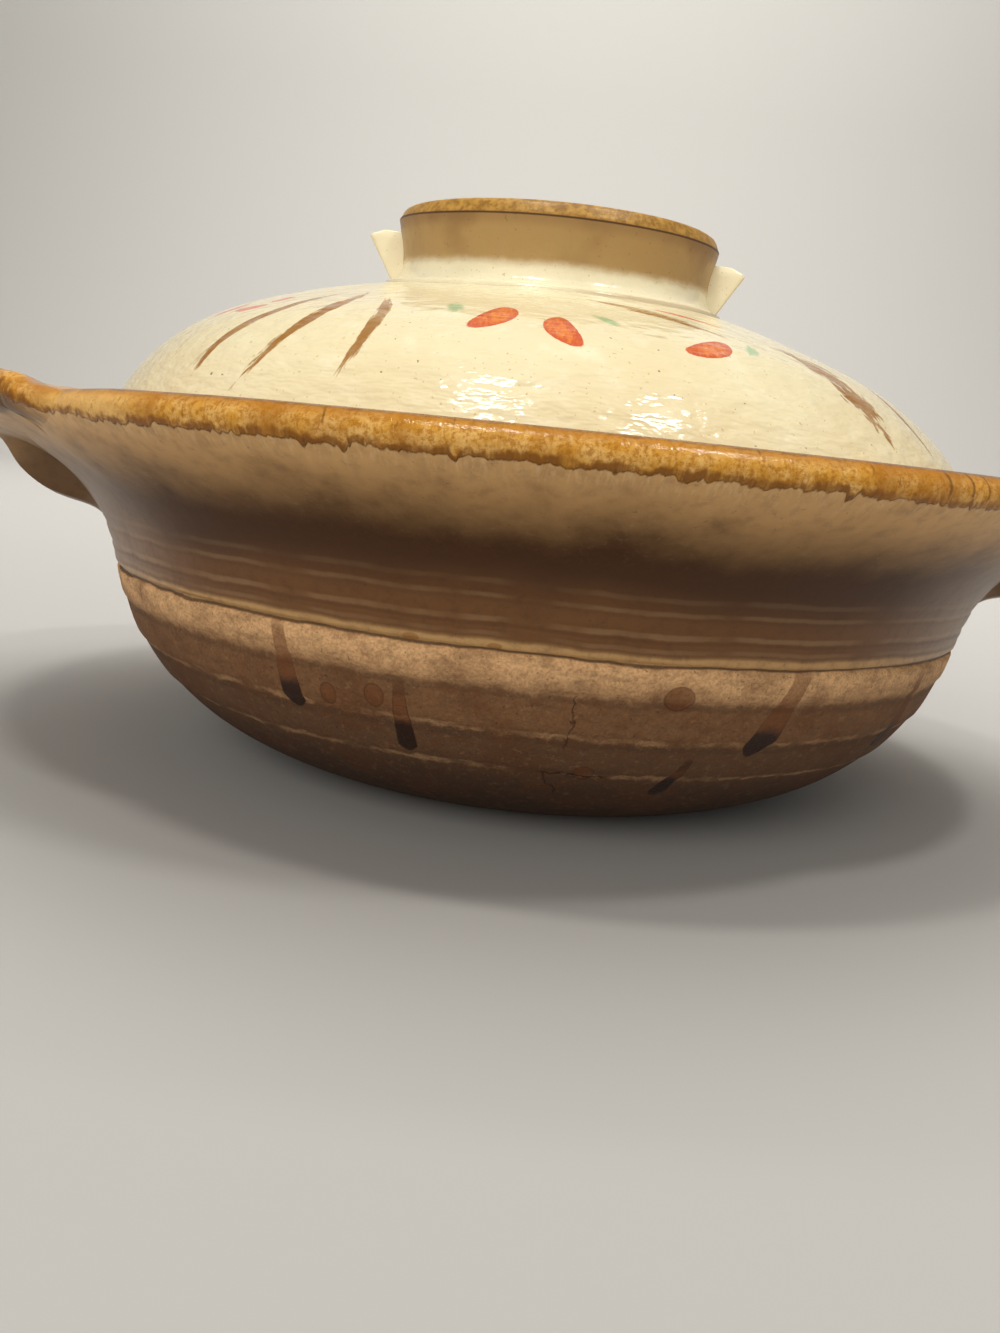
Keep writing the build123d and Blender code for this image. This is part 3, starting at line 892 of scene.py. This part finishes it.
RIM_TICKS = (  # azimuth, half width, upper and lower end
    (-14.9, 0.08, 0.6, 2.6), (29.2, 0.22, 0.4, 4.4), (31.5, 0.2, -0.5, 4), (33.2, 0.12, 0, 4.4),
    (-56, 0.3, 0.3, 4.5), (71, 0.3, 0.4, 3.8), (138, 0.2, 0.2, 4), (-122, 0.25, 0.3, 3.6))
RUNS = (  # azimuth, upper and lower end, half width, lean
    (-26.1, 39, 57.3, 2.1, 0.03), (-12.6, 48, 62.8, 1.7, 0.02), (29.6, 39, 58.3, 2.9, -0.13),
    (19.9, 60, 69.3, 1.5, -0.16), (52, 41, 60, 2, 0.04), (118, 40.5, 56, 1.9, 0.02),
    (-131, 40.5, 53, 1.7, -0.03), (160, 47, 61, 2, 0.03))
STAINS = (  # azimuth, drop, half width, half height
    (-20.8, 52.9, 1.8, 2.2), (-15.3, 51.6, 1.9, 2.2), (15.8, 45.7, 2.7, 2.3), (8, 64, 2.2, 1.8),
    (88, 49, 3, 2.4), (-152, 46, 2.6, 2.2))
OCHRE = (-11.2, 38.7, 1.6, 0.9), (-3, 38.4, 1.3, 0.6)


class PotFinish(Finish):
    """A finish of the pot or a lug, with the places and noises that its layers share.

    Colours are laid by the drop below the rim and the azimuth in degrees.
    """

    def __init__(self, name, lug):
        super().__init__(name)
        self.lug, self.drop, self.inside = lug, self.attribute("drop"), self.attribute("inside")
        self.out = self.math("SQRT", self.x * self.x + self.y * self.y)
        self.across, self.ahead = self.x / self.out * NOISE_RING, self.y / self.out * NOISE_RING
        self.azimuth = self.math("ARCTAN2", self.x, -self.y) * DEGREES
        self.ring = self.vector(self.across, self.ahead, 0)
        self.speck, self.grain = self.noise(1.4, 3, 0.6), self.noise(0.6, 2, 0.6)
        self.cloud, self.blotch = self.noise(34, 3, 0.55), self.noise(9, 4, 0.6)
        self.wobble = (self.noise(7, 4, 0.6) - 0.5) * 3

    def flow(self, share):
        """A place for noise that is drawn out down the pot: its drop counts for a share."""
        return self.vector(self.across, self.ahead, self.drop * share)


def rim_tick(f, where, half, top, bottom):
    """A dark stroke down the rim at an azimuth, from one drop to another."""
    aside = abs((f.azimuth - where) * 2.3 + (f.drop - 2.5) ** 2 * 0.09 + f.wobble * 0.12)
    ends = f.ramp(f.drop, top - 0.5, top + 0.3), f.ramp(f.drop, bottom + 0.6, bottom - 0.4)
    return f.ramp(aside, half + 0.28, half - 0.1) * ends[0] * ends[1]


def rim_glaze(f, c):
    """The rim's amber glaze: its colour, how far a point lies past its lower edge, where it pooled, its patches.

    That edge is ragged, with teeth of 2 to 3 mm and a few longer drips.
    """
    drop, azimuth = f.drop, f.azimuth
    teeth = f.noise(1.7, 2, 0.55, f.flow(0.35))
    drips = f.ramp(f.noise(3.2, 1, where=f.ring), 0.56, 0.74) * f.ramp(f.noise(24, 1, where=f.ring), 0.38, 0.54)
    edge = 3.6 + teeth * 2.4 + f.noise(13, 2, where=f.ring) * 1.8 + drips * 1.6
    edge = edge - f.ramp(azimuth, -33, -43, 1.3) * f.ramp(azimuth, -70, -60)
    past = drop - edge
    pool = f.ramp(past + f.noise(2.6, 3, 0.6) * 1.6 - f.noise(9, 3, 0.6, f.ring) * 2.2 + 0.5, -1.5, -0.5)
    spots = f.point if f.lug else f.flow(1.3)
    patches = f.noise(5, 5, 0.7, spots)
    glaze = f.over(f.mix(f.ramp(patches, 0.38, 0.6), c.amber_pale, c.amber), (
        (f.ramp(f.noise(19, 3, 0.6, spots if f.lug else f.ring), 0.5, 0.64, 0.75), c.amber_deep),
        (f.ramp(f.noise(1, 4, 0.75), 0.44, 0.62, 0.75), c.amber_deep),
        (f.ramp(f.noise(1.1, 3, 0.6, f.flow(0.12)), 0.54, 0.74, 0.3 if f.lug else 0.5), c.amber_deep),
        (f.band(azimuth, -37.5, 3.5, 5) * 0.6, c.amber_pale),
        (f.ramp(drop + (patches - 0.5) * 3, 2, 0.6, 0.65), c.amber_deep),
        (pool * f.ramp(f.noise(4, 4, 0.7, f.ring), 0.3, 0.56) * 0.95, c.amber_pool),
        (f.ramp(f.noise(1.7, 3, 0.7, f.flow(0.4)), 0.63, 0.7, 0.45), c.amber_dark),
        (f.most(*(rim_tick(f, *row) for row in RIM_TICKS)) * 0.6, c.amber_dark),
    ))
    if not f.lug:
        crest = f.ramp(drop + (patches - 0.5) * 1.6, 0.7, 0.1) * f.ramp(abs(abs(azimuth) - 90), 40, 50)
        glaze = f.mix(crest * 0.55, glaze, c.amber_dark)
    return glaze, past, pool, patches


def neck_glaze(f, c, past, level):
    """Ash glaze with feathery strokes under the amber, brown in the hollow under the rim from a darker glaze and
    painted shade, with pale throwing lines.
    """
    uneven = (f.noise(34, 2, 0.5, f.ring) - 0.5) * 5 + (f.blotch - 0.5) * 4
    # Painted sheen: grey over the glaze from 34 to 58 degrees off the front onwards, below the amber, with less of
    # it on a lug
    sheen = f.ramp(abs(f.azimuth), 34, 58, 0.5) * f.ramp(level, 8, 18)
    if f.lug:
        sheen = sheen * (1 - f.attribute("stand") * 0.8)
    # Partly the glaze's own colour, partly painted shade: greige darkens to umber from under the amber's edge into
    # the hollow below the overhanging rim
    ash = f.over(f.mix(f.ramp(level + uneven, 6.5, 21, 0.8 if f.lug else 1), c.greige, c.umber), (
        (f.ramp(level + (f.cloud - 0.5) * 8, 23, 33), c.bistre),
        (f.ramp(level, 36.7, 38), c.sand),
        (sheen, c.sheen_grey),
        (f.ramp(f.blotch, 0.5, 0.75, 0.25), c.umber),
        (f.ramp(f.noise(2.4, 5, 0.75), 0.45, 0.7, 0.3), c.umber),
        (f.ramp(f.noise(1.2, 5, 0.75), 0.5, 0.7) * f.ramp(level, 24, 8) * 0.2, c.feather),
        (f.ramp(f.speck, 0.66, 0.74, 0.35), c.groove),
        (f.ramp(f.noise(0.8, 4, 0.7, f.flow(0.3)), 0.46, 0.66) * f.ramp(past, 4, 0.2) * 0.4, c.feather),
    ))
    for middle, half, strength in ((26.6, 0.2, 0.05), (29.3, 0.15, 0.09), (33.6, 0.25, 0.12), (36.3, 0.15, 0.09)):
        fine = f.band(level, middle, half, 0.55) * f.ramp(f.noise(18, 3, where=f.ring), 0.3, 0.6)
        ash = f.mix(fine * strength, ash, c.feather)
    for middle, strength in ((30.1, 0.15), (34.6, 0.3), (37.2, 0.25)):
        ash = f.mix(f.band(level, middle, 0.1, 0.45) * strength, ash, c.umber)
    return ash


def bare_clay(f, c):
    """Bare clay of the bowl in trimmed bands, each with a broken edge, with painted shade darkening it towards the
    table.
    """
    low = f.drop + (f.noise(5, 4, 0.65, f.vector(f.across, f.ahead, f.z * 2)) - 0.5) * 3
    patchy = low + (f.blotch - 0.5) * 4
    clay = f.over(f.mix(f.ramp(patchy, 41, 47.2, 0.45), c.clay_light, c.clay), (
        (f.ramp(low, 45.2, 48.4, 0.75), c.clay),
        (f.ramp(patchy, 54, 58.4, 0.55), c.dark_clay_and_shade),
        # Painted shade: the clay darkens towards the table, standing in for the shadow where the bowl meets the
        # floor
        (f.ramp(low, 62, 70, 0.7), c.dark_clay_and_shade),
        (f.ramp(low, 62, 78, 0.85), c.groove),
        *((f.band(low, edge, 0.2, 0.8) * f.ramp(f.blotch, 0.36, 0.6) * 0.4, c.clay_light) for edge in (55.6, 64.6)),
        *((f.band(low, edge, 0.3, 0.9) * 0.35, c.groove) for edge in (47.6, 57.2)),
    ))
    brushed = f.vector(f.across * 0.3, f.ahead * 0.3, f.z * 1.3)
    return f.over(clay, (
        (f.ramp(f.noise(2.4, 4, 0.6, brushed), 0.44, 0.74, 0.35), c.dark_clay_and_shade),
        (f.ramp(f.noise(15, 3), 0.48, 0.66, 0.4), c.clay),
        (f.ramp(f.noise(3, 5, 0.75), 0.46, 0.66, 0.35), c.run_thin),
        (f.ramp(f.noise(1.6, 5, 0.75), 0.52, 0.7, 0.12), c.clay_light),
        (f.ramp(f.grain, 0.35, 0.7, 0.3), c.dark_clay_and_shade),
        (f.ramp(f.noise(0.9, 1), 0.68, 0.75, 0.45), c.groove),
    ))


def glaze_run(f, where, start, end, half, lean):
    """A run of glaze at an azimuth between two drops: the whole of it and its thick lower end."""
    aside = (f.azimuth - where - (f.drop - start) * lean) * 1.75 + f.wobble * 0.3
    width = half * 0.62 + f.ramp(f.drop, start, end) * (half * 0.5)
    tail = f.ramp(f.drop + aside * aside * 0.3, end + 0.5, end - 0.3)
    body = f.ramp(abs(aside) - width, 0.25, -0.2) * f.ramp(f.drop + f.wobble, start - 1.5, start + 3.5) * tail
    return body, body * f.ramp(f.drop + f.wobble * 1.6, end - 7, end - 4.6)


def stain(f, where, middle, wide, tall):
    """A round stain at an azimuth and a drop."""
    aside, off = (f.azimuth - where) * 1.85 / wide, (f.drop - middle) / tall
    return f.ramp(aside * aside + off * off + f.wobble * 0.45, 1.3, 0.75)


def hairlines(f):
    """Cracks in the bare clay: an upright one, a level one and a branch."""
    seam = (f.noise(4, 4, 0.6) - 0.5) * 5
    branch = abs((f.azimuth - 4) * 1.8 + seam * 1.6 - (f.drop - 66) * 0.5)
    return f.most(
        f.ramp(abs((f.azimuth - 5.5) * 1.8 + seam), 0.28, 0.05) * f.band(f.drop, 52.5, 5.5, 1) * 0.55,
        f.ramp(abs(f.drop - 65 + seam), 0.35, 0.08) * f.band(f.azimuth, 7, 3.2, 1.5) * 0.8,
        f.ramp(branch, 0.3, 0.05) * f.band(f.drop, 67.5, 2.6, 1) * 0.8)


def pot_finish(name, colours, lug=False):
    """Amber glaze that ran down from the rim, ash glaze on the neck, and bare clay with runs below the groove."""
    f, c = PotFinish(name, lug), shades(colours)
    drop, inside, blotch = f.drop, f.inside, f.blotch
    glaze, past, pool, patches = rim_glaze(f, c)
    level = drop + (f.noise(40, 1, where=f.ring) - 0.5) * 1.6 + (blotch - 0.5) * 1.2
    thin, thick = (f.most(*part) for part in zip(*(glaze_run(f, *row) for row in RUNS)))
    stains, ochre = (f.most(*(stain(f, *row) for row in rows)) for rows in (STAINS, OCHRE))
    cracks = hairlines(f)
    base = f.mix(f.ramp(drop, GROOVE_DROP - 0.2, GROOVE_DROP + 0.4), neck_glaze(f, c, past, level), bare_clay(f, c))
    base = f.over(base, (
        (f.band(level, GROOVE_DROP, 0.1, 0.4) * 0.8, c.groove),
        (ochre * 0.5, c.amber_pool),
        (f.most(thin, stains) * (0.42 + blotch * 0.3), c.run_thin),
        (stains * (1 - stains) * (1.2 + blotch), c.run),
        (thin * (1 - thin) * f.ramp(drop, 44, 54) * 2, c.run),
        (thick * 0.92, c.run),
        (cracks, c.run),
        (f.ramp(f.z, 3, 0.8, 0.7) * (1 - inside), c.clay),
    ))
    seat = f.band(drop, SEAT_DROP, 0.9, 0.9) * f.ramp(f.out, 113.5, 112)
    cavity = f.over(c.inside, (
        (f.ramp(blotch, 0.4, 0.7, 0.5), c.sand),
        (f.ramp(f.speck, 0.64, 0.72, 0.5), c.umber),
        (seat, c.clay_light),
    ))
    amber = f.ramp(past, 0.26, -0.2)
    covered = amber * (1 - inside * f.ramp(drop, 5, 9))
    base = f.mix(covered, f.mix(inside, base, cavity), glaze)
    if lug:
        iron = f.ramp(past - f.noise(3.2, 3, 0.6, f.flow(0.25)) * 6, 0.6, -1) * f.ramp(past, -0.8, 0.5)
        base = f.mix(iron * f.ramp(abs(abs(f.azimuth) - 90), 48, 43) * 0.85, base, c.amber_dark)

    bare = f.most(f.ramp(drop, GROOVE_DROP - 0.3, GROOVE_DROP + 0.5) * (1 - inside), seat * inside)
    rough = 0.42 - covered * 0.3 - inside * 0.2 + bare * (0.36 - thick * 0.3)
    pitted = (f.grain * 0.16 + f.speck * 0.12 + blotch * 0.25) * bare
    height = covered * 0.1 + covered * pool * 0.08 + f.noise(5.5, 2, 0.5) * 0.1 + pitted
    height = height + thick * 0.2 + thin * 0.05 - cracks * 0.2 + patches * covered * 0.12
    height = height + f.noise(1.1, 3, 0.6) * covered * 0.16 + f.grain * 0.02
    return f.done(base, rough, height, specular=0.32)


BRUSHWORK = {  # middle, direction, half length, half width and bend of each stroke, on the dome's unrolled surface
    "grass": ((-46, -74, 64, 27, 2.2, 6), (-56, -66, 48, 24, 1.8, 5), (-34, -82, 84, 22, 1.7, 4),
              (-64, -72, 36, 17, 1.4, -3), (18, -57, 168, 15, 2.6, 1.6), (26, -62, 160, 13, 2.2, 1.2),
              (80, -52, 128, 18, 1.6, -4)),
    "sweep": ((62, -64, 142, 19, 6.5, 2.5),),
    "leaves": ((-10, -83, 66, 8.8, 3.6, 1.6), (3, -88, 108, 8.2, 3.4, -1.6), (34, -82, 58, 8, 3.4, 1.4)),
    "greens": ((-19, -76, 100, 5, 2.2, 0.6), (12, -77, 128, 5.2, 2, 0.6), (43, -73, 90, 5, 2, 0.5)),
    "petals": ((-73, -50, 20, 5, 2.4, 1.2), (-67, -58, -24, 5.2, 2.4, 1), (-60, -52, 66, 4.6, 2.2, 1),
               (30, -52, 176, 9, 1.4, 0.8)),
}


def brush_strokes(f, where, strokes, dry=0):
    """Depth inside brush strokes, from 0 at their edges to 1 in the middle, each a bent, tapering line.

    A stroke is given by its middle, its direction in degrees, half its length, half its width and its bend.
    Along its own axis a, the depth is 1 minus a squared minus the square of the distance from the parabola
    bend * a * a in half widths. A dry brush leaves bristle marks, a noise drawn out along the stroke.
    """
    depths = []
    for x, y, turn, half, width, bend in strokes:
        turned = f.node("ShaderNodeMapping", {"vector_type": "TEXTURE"}, {
            "Vector": where, "Location": (x, y, 0), "Rotation": (0, 0, np.radians(turn)), "Scale": (half, half, 1)})
        a, b = f.axes(turned, "XY")
        off = (b - a * a * (bend / half)) * (half / width)
        depth = 1 - a * a - off * off
        if dry:
            bristles = f.noise(1, 3, 0.65, f.vector(a * (half / 7), off * 2.2, x * 0.37))
            depth = depth - (bristles - 0.42 + a * 0.12) * dry
        depths.append(depth)
    return f.most(*depths)


def cream_finish(name, colours):
    """Glossy cream glaze with specks and slow waves, and loose brushwork: grass, leaves and petals."""
    f, c = Finish(name), shades(colours)
    where, outer = f.attribute("unrolled", "Vector"), f.attribute("outer")
    cloud, blotch = f.noise(30, 3), f.noise(6, 4, 0.6)
    base = f.over(c.cream, (
        (f.ramp(cloud, 0.4, 0.7, 0.4), c.cream_warm),
        (f.ramp(blotch, 0.5, 0.75, 0.3), paint(248, 240, 212)),
        (f.ramp(f.noise(0.8, 1), 0.7, 0.76, 0.5), c.tan),
        (f.ramp(f.noise(1.3, 1), 0.765, 0.79, 0.7), c.umber),
    ))
    rag = (f.noise(1.6, 4, 0.7, where) - 0.5) * 0.55
    grass, sweep, leaves, greens, petals = (brush_strokes(f, where, BRUSHWORK[kind], dry) for kind, dry in (
        ("grass", 2.3), ("sweep", 3.4), ("leaves", 0), ("greens", 1.2), ("petals", 0.9)))
    base = f.over(base, (
        (f.ramp(f.most(grass, sweep) + rag, 0, 0.4) * outer * (0.55 + blotch * 0.7), c.brush_brown),
        (f.ramp(petals + rag, 0, 0.3) * outer * 0.85, c.brush_pink),
        (f.ramp(greens + rag, 0, 0.8) * outer * 0.7, c.brush_green),
    ))
    streaks = f.noise(1.1, 4, 0.7, f.stretched(where, 1, 0.25, 1))
    watered = f.mix(f.ramp(leaves * 0.6 + (streaks - 0.5) * 2.2, 0.1, 0.7), c.brush_red, c.brush_orange)
    base = f.mix(f.ramp(leaves + rag * 0.5, 0, 0.12) * outer * 0.95, base, watered)
    out = f.math("SQRT", (f.x - mm(LID_X)) ** 2 + f.y * f.y)
    ring = f.band(out, 44.9, 0.25, 0.6) * f.ramp(f.noise(12, 2), 0.4, 0.6) * outer
    seat = f.ramp(f.z, 69.6, 68.6)
    base = f.mix(seat, f.mix(ring * 0.6, base, c.brush_brown), c.clay_light)
    dents = f.noise(6, 2, 0.5, f.stretched(f.point, 1, 1, 2.6))
    height = dents * 0.6 + f.noise(2.2, 2) * 0.05 + f.ramp(leaves, 0, 0.2) * outer * 0.04
    return f.done(base, 0.12 + seat * 0.5 + blotch * 0.06, height)


def knob_finish(name, colours, ears=False):
    """Cream glaze, painted lighter than the lid's to make up for shade; on the ring a tan wash over the wall with
    painted shade at its top, a dark line at the edge and a golden band on top.
    """
    f, c = Finish(name), shades(colours)
    cloud, blotch = f.noise(16, 3), f.noise(4, 4, 0.6)
    # Painted light: a lighter cream than the lid's, so that the knob and ears, which get less light, look as bright
    # as the dome
    base = f.over(paint(248, 236, 200), (
        (f.ramp(cloud, 0.4, 0.7, 0.4), c.cream),
        (f.ramp(f.noise(0.8, 1), 0.7, 0.76, 0.5), c.tan),
    ))
    rough = 0.14 + blotch * 0.06
    if not ears:
        drop, inside = f.attribute("drop"), f.attribute("inside")
        level = drop + (blotch - 0.5) * 1.4 + (cloud - 0.5) * 1.6
        wall = f.ramp(level, 14.4, 11.4) * (1 - inside)
        tan = f.over(c.tan, (
            (f.ramp(blotch, 0.4, 0.7, 0.35), c.sand),
            (f.ramp(cloud, 0.45, 0.7, 0.4), c.bistre),
            (f.ramp(f.noise(1.2, 2), 0.66, 0.74, 0.3), c.umber),
            # Painted shade: the upper wall darkens just under the crisp edge, where it overhangs
            (f.ramp(drop, 6, 3, 0.3), c.bistre),
        ))
        gold = f.mix(f.ramp(f.noise(1.8, 4, 0.7), 0.36, 0.64, 0.8), paint(190, 144, 62), paint(132, 90, 26))
        top = f.ramp(drop, 2.6, 2.2) * f.math("MAXIMUM", 1 - inside, f.ramp(drop, 1.6, 0.8))
        base = f.over(base, (
            (wall, tan),
            (top, gold),
            (f.band(drop, 2.6, 0.08, 0.25) * (1 - inside) * 0.9, c.amber_dark),
            (f.ramp(drop, 17.3, 18) * (1 - inside) * f.ramp(f.x, -5, 12) * 0.35, c.brush_brown),
        ))
        rough = rough + wall * 0.22
    return f.done(base, rough, f.noise(5, 3) * 0.25 + f.noise(1.6, 2) * 0.05)


def stage_finish(name, shade):
    """Plain pale floor with the faintest grain."""
    f = Finish(name)
    base = f.mix(f.noise(60, 2) * 0.06, shade, paint(178, 176, 172))
    return f.done(base, 0.85, f.noise(3, 2) * 0.02)


# Stage


def floor_mesh():
    """A floor that turns up into a backdrop by a quarter circle."""
    side = np.array((-FLOOR_HALF, FLOOR_HALF))
    bend = arc((BEND_START, BEND_RADIUS), BEND_RADIUS, -90, 0)
    profile = np.vstack([[(-FLOOR_HALF, 0)], bend, [(BEND_START + BEND_RADIUS, WALL_TOP)]])[:, None, :]
    grid = np.concatenate([np.tile(side[None, :, None], (len(profile), 1, 1)), np.tile(profile, (1, 2, 1))], axis=2)
    number = np.arange(2 * len(profile)).reshape(-1, 2)
    mesh = bpy.data.meshes.new("floor")
    mesh.from_pydata(grid.reshape(-1, 3) * 0.001, [],
                     np.stack([number[:-1, 0], number[:-1, 1], number[1:, 1], number[1:, 0]], axis=1).tolist())
    mesh.shade_smooth()
    return mesh


def posed(name, data, spot, right, up, back):
    """An object in the scene at a spot, with its X, Y and Z axes along the given unit vectors."""
    thing = bpy.data.objects.new(name, data)
    thing.matrix_world = Matrix([*zip(right, up, back, spot), (0, 0, 0, 1)])
    bpy.context.scene.collection.objects.link(thing)
    return thing


def lamp(name, power, size, spot, target, mirrored=False):
    """A lamp that shines from a spot to a target, and shows in the glaze only if it is mirrored."""
    light = bpy.data.lights.new(name, "AREA")
    light.energy, light.color, light.shape = power, (1, 0.975, 0.93), "RECTANGLE"
    light.size, light.size_y = size
    way = unit(np.subtract(target, spot))
    right = unit(np.cross(way, (0, 1, 0) if abs(way[2]) > 0.9 else (0, 0, 1)))
    posed(name, light, spot, right, np.cross(right, way), -way).visible_glossy = mirrored


def photo_camera(stage):
    """The camera where the photograph was taken, turned aside, down and about its own axis."""
    def turn(angle, first, second):
        matrix = np.eye(3)
        matrix[first, first] = matrix[second, second] = np.cos(angle)
        matrix[first, second], matrix[second, first] = -np.sin(angle), np.sin(angle)
        return matrix

    level = np.array(((1, 0, 0), (0, 0, -1), (0, 1, 0)))
    right, down, ahead = turn(stage.roll, 0, 1) @ turn(stage.pitch, 1, 2) @ turn(-stage.yaw, 0, 2) @ level
    lens = bpy.data.cameras.new("camera")
    lens.lens, lens.sensor_width, lens.clip_start = SENSOR * FOCAL_PIXELS / PHOTO_HEIGHT, SENSOR, 0.01
    return posed("camera", lens, CAMERA_SPOT, right, -down, -ahead)


# Operators


def size_and_colours(context):
    """The sizes in millimetres and the colours."""
    return millimetres(context.scene.donabe_sizes), context.scene.donabe_colours


class DONABE_OT_pot(bpy.types.Operator):
    """Make the thrown pot"""

    bl_idname = "donabe.pot"
    bl_label = "Pot"

    def execute(self, context):
        size, colours = size_and_colours(context)
        place(pot_mesh(size), pot_finish("pot_glaze_and_clay", colours), "pot", "pot_body", "pot_clay")
        return {"FINISHED"}


class DONABE_OT_lugs(bpy.types.Operator):
    """Make the two lugs"""

    bl_idname = "donabe.lugs"
    bl_label = "Lugs"

    def execute(self, context):
        size, colours = size_and_colours(context)
        finish = pot_finish("lug_glaze", colours, lug=True)
        for name, node, side in (("lug_left", "handle_left", -1), ("lug_right", "handle_right", 1)):
            place(lug_mesh(size, name, side * np.pi / 2), finish, "pot", node, "amber_glaze")
        return {"FINISHED"}


class DONABE_OT_lid(bpy.types.Operator):
    """Make the domed lid"""

    bl_idname = "donabe.lid"
    bl_label = "Lid"

    def execute(self, context):
        size, colours = size_and_colours(context)
        place(lid_mesh(size), cream_finish("lid_glaze", colours), "lid", "lid_dome", "cream_glaze")
        return {"FINISHED"}


class DONABE_OT_knob(bpy.types.Operator):
    """Make the ring knob on the lid"""

    bl_idname = "donabe.knob"
    bl_label = "Knob"

    def execute(self, context):
        size, colours = size_and_colours(context)
        place(knob_mesh(size), knob_finish("knob_glaze", colours), "lid", "knob_ring", "cream_glaze")
        return {"FINISHED"}


class DONABE_OT_ears(bpy.types.Operator):
    """Make the two ears of the knob"""

    bl_idname = "donabe.ears"
    bl_label = "Ears"

    def execute(self, context):
        size, colours = size_and_colours(context)
        finish = knob_finish("ear_glaze", colours, ears=True)
        for name, node, side in (("ear_left", "knob_ear_left", -1), ("ear_right", "knob_ear_right", 1)):
            place(ear_mesh(size, name, side), finish, "lid", node, "cream_glaze")
        return {"FINISHED"}


class DONABE_OT_stage(bpy.types.Operator):
    """Make the floor, the lights and the camera"""

    bl_idname = "donabe.stage"
    bl_label = "Stage"

    def execute(self, context):
        scene, stage = context.scene, context.scene.donabe_stage
        mesh = floor_mesh()
        mesh.materials.append(stage_finish("floor_paint", tuple(stage.floor)))
        floor = bpy.data.objects.new("floor", mesh)
        scene.collection.objects.link(floor)
        lamp("lamp_over", stage.lamp, (0.9, 0.9), (0.1, 0.1, 1.5), (0, 0, 0))
        lamp("lamp_front", stage.front, (1.6, 1.6), (-0.9, -2.1, 1.1), (0, 0, 0.05))
        for name, spot in (("lamp_spark_left", (-0.2, -0.4, 1.3)), ("lamp_spark_right", (0.5, -0.4, 1.3))):
            lamp(name, stage.spark, (0.19, 0.09), spot, (0, 0, 0.08), mirrored=True)
        lamp("lamp_wall", stage.wall, (1.6, 1.6), (0, 0.9, 1.7), (0, 2.4, 0.5))
        world = bpy.data.worlds.new("room")
        world.use_nodes = True
        back = world.node_tree.nodes["Background"]
        back.inputs["Color"].default_value = (0.95, 0.95, 0.93, 1)
        back.inputs["Strength"].default_value = stage.sky
        scene.world = world
        scene.view_settings.view_transform = "Standard"
        scene.camera = photo_camera(stage)
        return {"FINISHED"}


class DONABE_PT_panel(bpy.types.Panel):
    """Lists the pieces, their sizes and their colours"""

    bl_idname = "DONABE_PT_panel"
    bl_label = "Donabe"
    bl_space_type = "VIEW_3D"
    bl_region_type = "UI"
    bl_category = "Donabe"

    def draw(self, context):
        for operator in operators:
            self.layout.operator(operator.bl_idname)
        for group in (context.scene.donabe_sizes, context.scene.donabe_colours, context.scene.donabe_stage):
            box = self.layout.box()
            for key in type(group).__annotations__:
                box.prop(group, key)


operators = (DONABE_OT_pot, DONABE_OT_lugs, DONABE_OT_lid, DONABE_OT_knob, DONABE_OT_ears, DONABE_OT_stage)
groups = {"donabe_sizes": DonabeSizes, "donabe_colours": DonabeColours, "donabe_stage": DonabeStage}


def register():
    """Registers the add-on's classes and hangs its settings on the scene."""
    for kind in (*groups.values(), *operators, DONABE_PT_panel):
        bpy.utils.register_class(kind)
    for key, kind in groups.items():
        setattr(bpy.types.Scene, key, bpy.props.PointerProperty(type=kind))


def unregister():
    """Takes the settings and classes away again."""
    for key in groups:
        delattr(bpy.types.Scene, key)
    for kind in (DONABE_PT_panel, *reversed(operators), *groups.values()):
        bpy.utils.unregister_class(kind)


def main():
    """Makes every piece and the stage."""
    register()
    bpy.ops.donabe.pot()
    bpy.ops.donabe.lugs()
    bpy.ops.donabe.lid()
    bpy.ops.donabe.knob()
    bpy.ops.donabe.ears()
    bpy.ops.donabe.stage()


if __name__ == "__main__":
    main()
